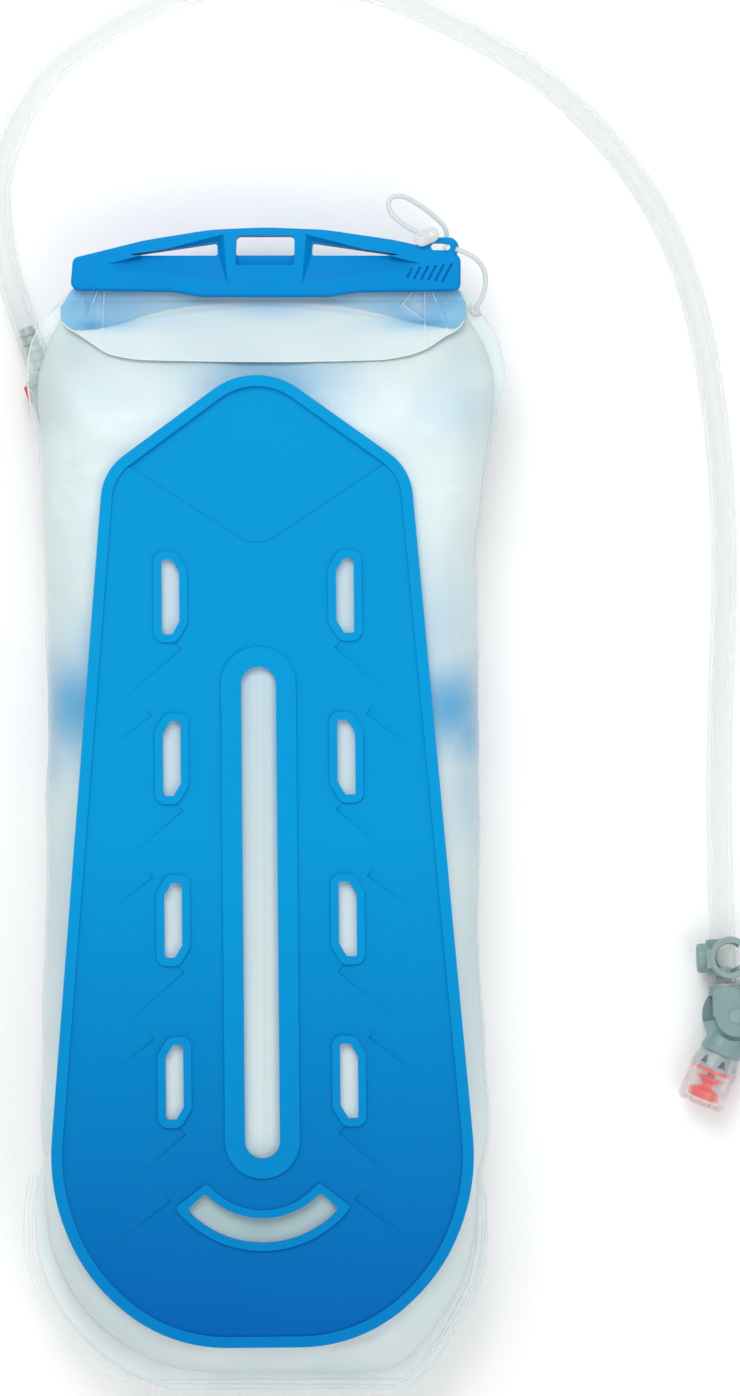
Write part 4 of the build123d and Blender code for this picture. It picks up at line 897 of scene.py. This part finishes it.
# %% Levels and edges of the fold
FOLD_EDGE = [(-75, 184), (-74, 178.6), (-71.5, 175.6), (-68.5, 173.9), (-62.3, 169.6),
             (-55.4, 165.6), (-43.4, 163.7), (1.5, 162.9), (41.6, 163.7), (52, 165.4),
             (58.7, 167.9), (65.6, 172.6), (70, 175.0), (72.6, 178.6), (73.8, 184)]
LENS_EDGE = [(-75, 173), (-58.7, 176.0), (-47.4, 178.7), (-24, 182.4), (1.5, 184.2),
             (24, 182.6), (45.6, 179.3), (60, 176.6), (68.5, 175.2), (74, 173)]
CREASES = [((-58.6, 192), (-59.0, 169.0), 0.5), ((58.3, 192), (58.2, 169.5), 0.5),
           ((-61.2, 190), (-65.5, 176.8), 0.6), ((-65.5, 176.8), (-68.6, 173.6), 0.5),
           ((61.2, 189), (66.4, 175.0), 0.5), ((50.2, 184.5), (53.8, 189.6), 0.4),
           ((50.2, 184.5), (58.0, 178.4), 0.4)]
FOLD_BASE, FOLD_SLOPE, NECK_START = 29.2, 0.72, 186.2
FOLD_LIFT, BAND_LIFT = 0.55, 1.05
FOLD_THICK, BAND_THICK = 0.35, 0.3
CREASE_WIDTH = 0.75


def fold_level(y):
    """Height of the folded mouth's underside over the neck."""
    return FOLD_BASE + FOLD_SLOPE * np.maximum(0.0, NECK_START - y)


def crease_height(x, y, lines, sharp):
    """Raised ridges along straight creases."""
    height = np.zeros_like(x)
    for (x0, y0), (x1, y1), tall in lines:
        dx, dy = x1 - x0, y1 - y0
        t = np.clip(((x - x0) * dx + (y - y0) * dy) / (dx * dx + dy * dy), 0, 1)
        d = np.hypot(x - x0 - t * dx, y - y0 - t * dy)
        height = np.maximum(height, tall * np.exp(-((d / sharp) ** 2)))
    return height


def sheet_piece(name, x, y, z, thick, material, slot):
    """A closed thin sheet from a grid of points, thickened downwards."""
    top = np.stack([x, y, z], axis=2)
    low = top.copy()
    low[..., 2] -= thick
    r, c = x.shape
    points = np.concatenate([top.reshape(-1, 3), low.reshape(-1, 3)]) * 0.001
    faces = []
    base = r * c
    for i in range(r - 1):
        for j in range(c - 1):
            a = i * c + j
            faces.append((a, a + 1, a + c + 1, a + c))
            faces.append((base + a, base + a + c, base + a + c + 1, base + a + 1))
    rim = list(range(c)) + [i * c + c - 1 for i in range(1, r)]
    rim += [(r - 1) * c + j for j in range(c - 2, -1, -1)] + [i * c for i in range(r - 2, 0, -1)]
    for a, b in zip(rim, rim[1:] + rim[:1]):
        faces.append((a, base + a, base + b, b))
    return outwards(add_piece(name, points, faces, material, slot, "reservoir"))


# %% The fold
u = np.linspace(-74.6, 73.4, 230)
v = np.linspace(0, 1, 62)[:, None]
upper = np.where(np.abs(u) < 66.2, 199.0, 190.4 - 6.6 * ease((np.abs(u) - 69.5) / 5.5))
lower = flow(u, FOLD_EDGE)
fold_x = np.broadcast_to(u, (len(v), len(u))).copy()
fold_y = upper + (lower - upper) * v
fold_z = fold_level(fold_y) + FOLD_LIFT
outside = ease((187.4 - fold_y) / 2.5)
lens = ease((flow(fold_x, LENS_EDGE) - fold_y) / 0.9)
fold_z += 0.32 * lens * outside
fold_z += crease_height(fold_x, fold_y, CREASES, CREASE_WIDTH) * outside
soft = np.stack([fold_x, fold_y * 1.4, fold_y * 0], axis=2)
fold_z += 0.22 * ripple(soft, 15.0, 2.4) * outside * ease((fold_y - lower) / 2.0)
mouth_fold = sheet_piece("mouth_fold", fold_x, fold_y, fold_z, FOLD_THICK, mouth_frost,
                         "mouth_film")
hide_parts("mouth_flap")


def both_sides(values):
    """The same paint for a sheet's top and underside."""
    return np.concatenate([values.reshape(-1), values.reshape(-1)])


flat = np.stack([fold_x.reshape(-1), fold_y.reshape(-1)], axis=1)
hint = spots(flat, [(2, 183, 14, 4.5, 0.42), (-56, 177.4, 13, 2.6, 0.70),
                    (56, 177.5, 15, 2.8, 0.75), (-40, 178, 16, 3.5, 0.25),
                    (-62, 186, 6, 9, 0.3), (66, 186, 6, 9, 0.35)]).reshape(fold_x.shape)
hint = hint * (0.25 + 0.75 * ease((fold_y - lower) / 9.0))
paint(mouth_fold, "blue", both_sides(hint))
paint(mouth_fold, "cover", both_sides(0.66 + 0.14 * lens))

# %% Blue strip at the corners
BAND_EDGE = [(-74.8, 184), (-74.2, 179.4), (-72, 176.6), (-68.5, 175.0), (-62, 175.3),
             (-52, 177.8), (-40, 181.5), (-24, 184.2), (0, 185.4), (24, 184.4), (40, 181.6),
             (52, 178.4), (62, 176.4), (68.5, 175.6), (71.8, 177.4), (73.2, 180), (73.7, 184)]
u = np.linspace(-74.2, 73.1, 200)
v = np.linspace(0, 1, 26)[:, None]
near = 190.4 - 6.8 * ease((np.abs(u) - 69.5) / 5.5)
band_x = np.broadcast_to(u, (len(v), len(u))).copy()
band_y = near + (np.minimum(flow(u, BAND_EDGE), near - 0.6) - near) * v
band_out = ease((187.0 - band_y) / 2.5)
band_z = fold_level(band_y) + BAND_LIFT
band_z += crease_height(band_x, band_y, CREASES, CREASE_WIDTH) * band_out
mouth_band = sheet_piece("mouth_band", band_x, band_y, band_z, BAND_THICK, band_blue,
                         "mouth_strip")
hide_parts("mouth_strip")
away = np.abs(band_x)
show = 0.08 + 0.12 * ease((away - 14) / 16) + 0.16 * ease((away - 36) / 20)
show += 0.20 * ease((away - 60.5) / 2.5)
flat = np.stack([band_x.reshape(-1), band_y.reshape(-1)], axis=1)
petal = spots(flat, [(55.2, 184.6, 3.2, 4.2, 1.0), (-61.0, 182.0, 1.6, 5.0, 0.8)])
show = show * (1 - 0.55 * petal.reshape(band_x.shape))
paint(mouth_band, "cover", both_sides(show))
# painted shade: a deeper blue along the strip's creases and along its lower edge at the corners
painted_crease_shade = spots(flat, [(-63, 176.2, 5.5, 1.8, 0.75), (-64.6, 182.5, 1.1, 4.0, 0.45),
                    (57, 177.4, 9.5, 1.9, 0.7)])
paint(mouth_band, "blue", both_sides(painted_crease_shade.reshape(band_x.shape)))
print("fold and strip are on")

# %% [markdown]
# The sharp creases and the fold's edge catch the light as fine white lines. They are beads again,
# from the same node tree, laid on the fold.

# %% Crease lines
OVER_STRIP, OVER_FOLD = 1.22, 0.9


def on_fold(px, py):
    """Height of a bead: over the blue strip and the corners, or lower on the fold alone."""
    over_strip = py > 174.5 or abs(px) > 50
    return float(fold_level(np.array(py))) + (OVER_STRIP if over_strip else OVER_FOLD)


def between(start, end, steps=16):
    t = np.linspace(0, 1, steps)[:, None]
    return np.array(start) * (1 - t) + np.array(end) * t


crease_lines = [between((x0, min(y0, 189.4)), end) for (x0, y0), end, _ in CREASES]
edge_x = np.linspace(-73.4, 72.4, 90)
crease_lines.append(np.stack([edge_x, flow(edge_x, FOLD_EDGE) + 0.1], axis=1))
crease_curve = line_curve("fold_creases", crease_lines, on_fold)
fold_creases = made_real("fold_creases", crease_curve, sweep_tree, {radius_id: CREASE_RADIUS},
                         "reservoir")
paint(fold_creases, "cover", np.full(len(fold_creases.data.vertices), 0.8))
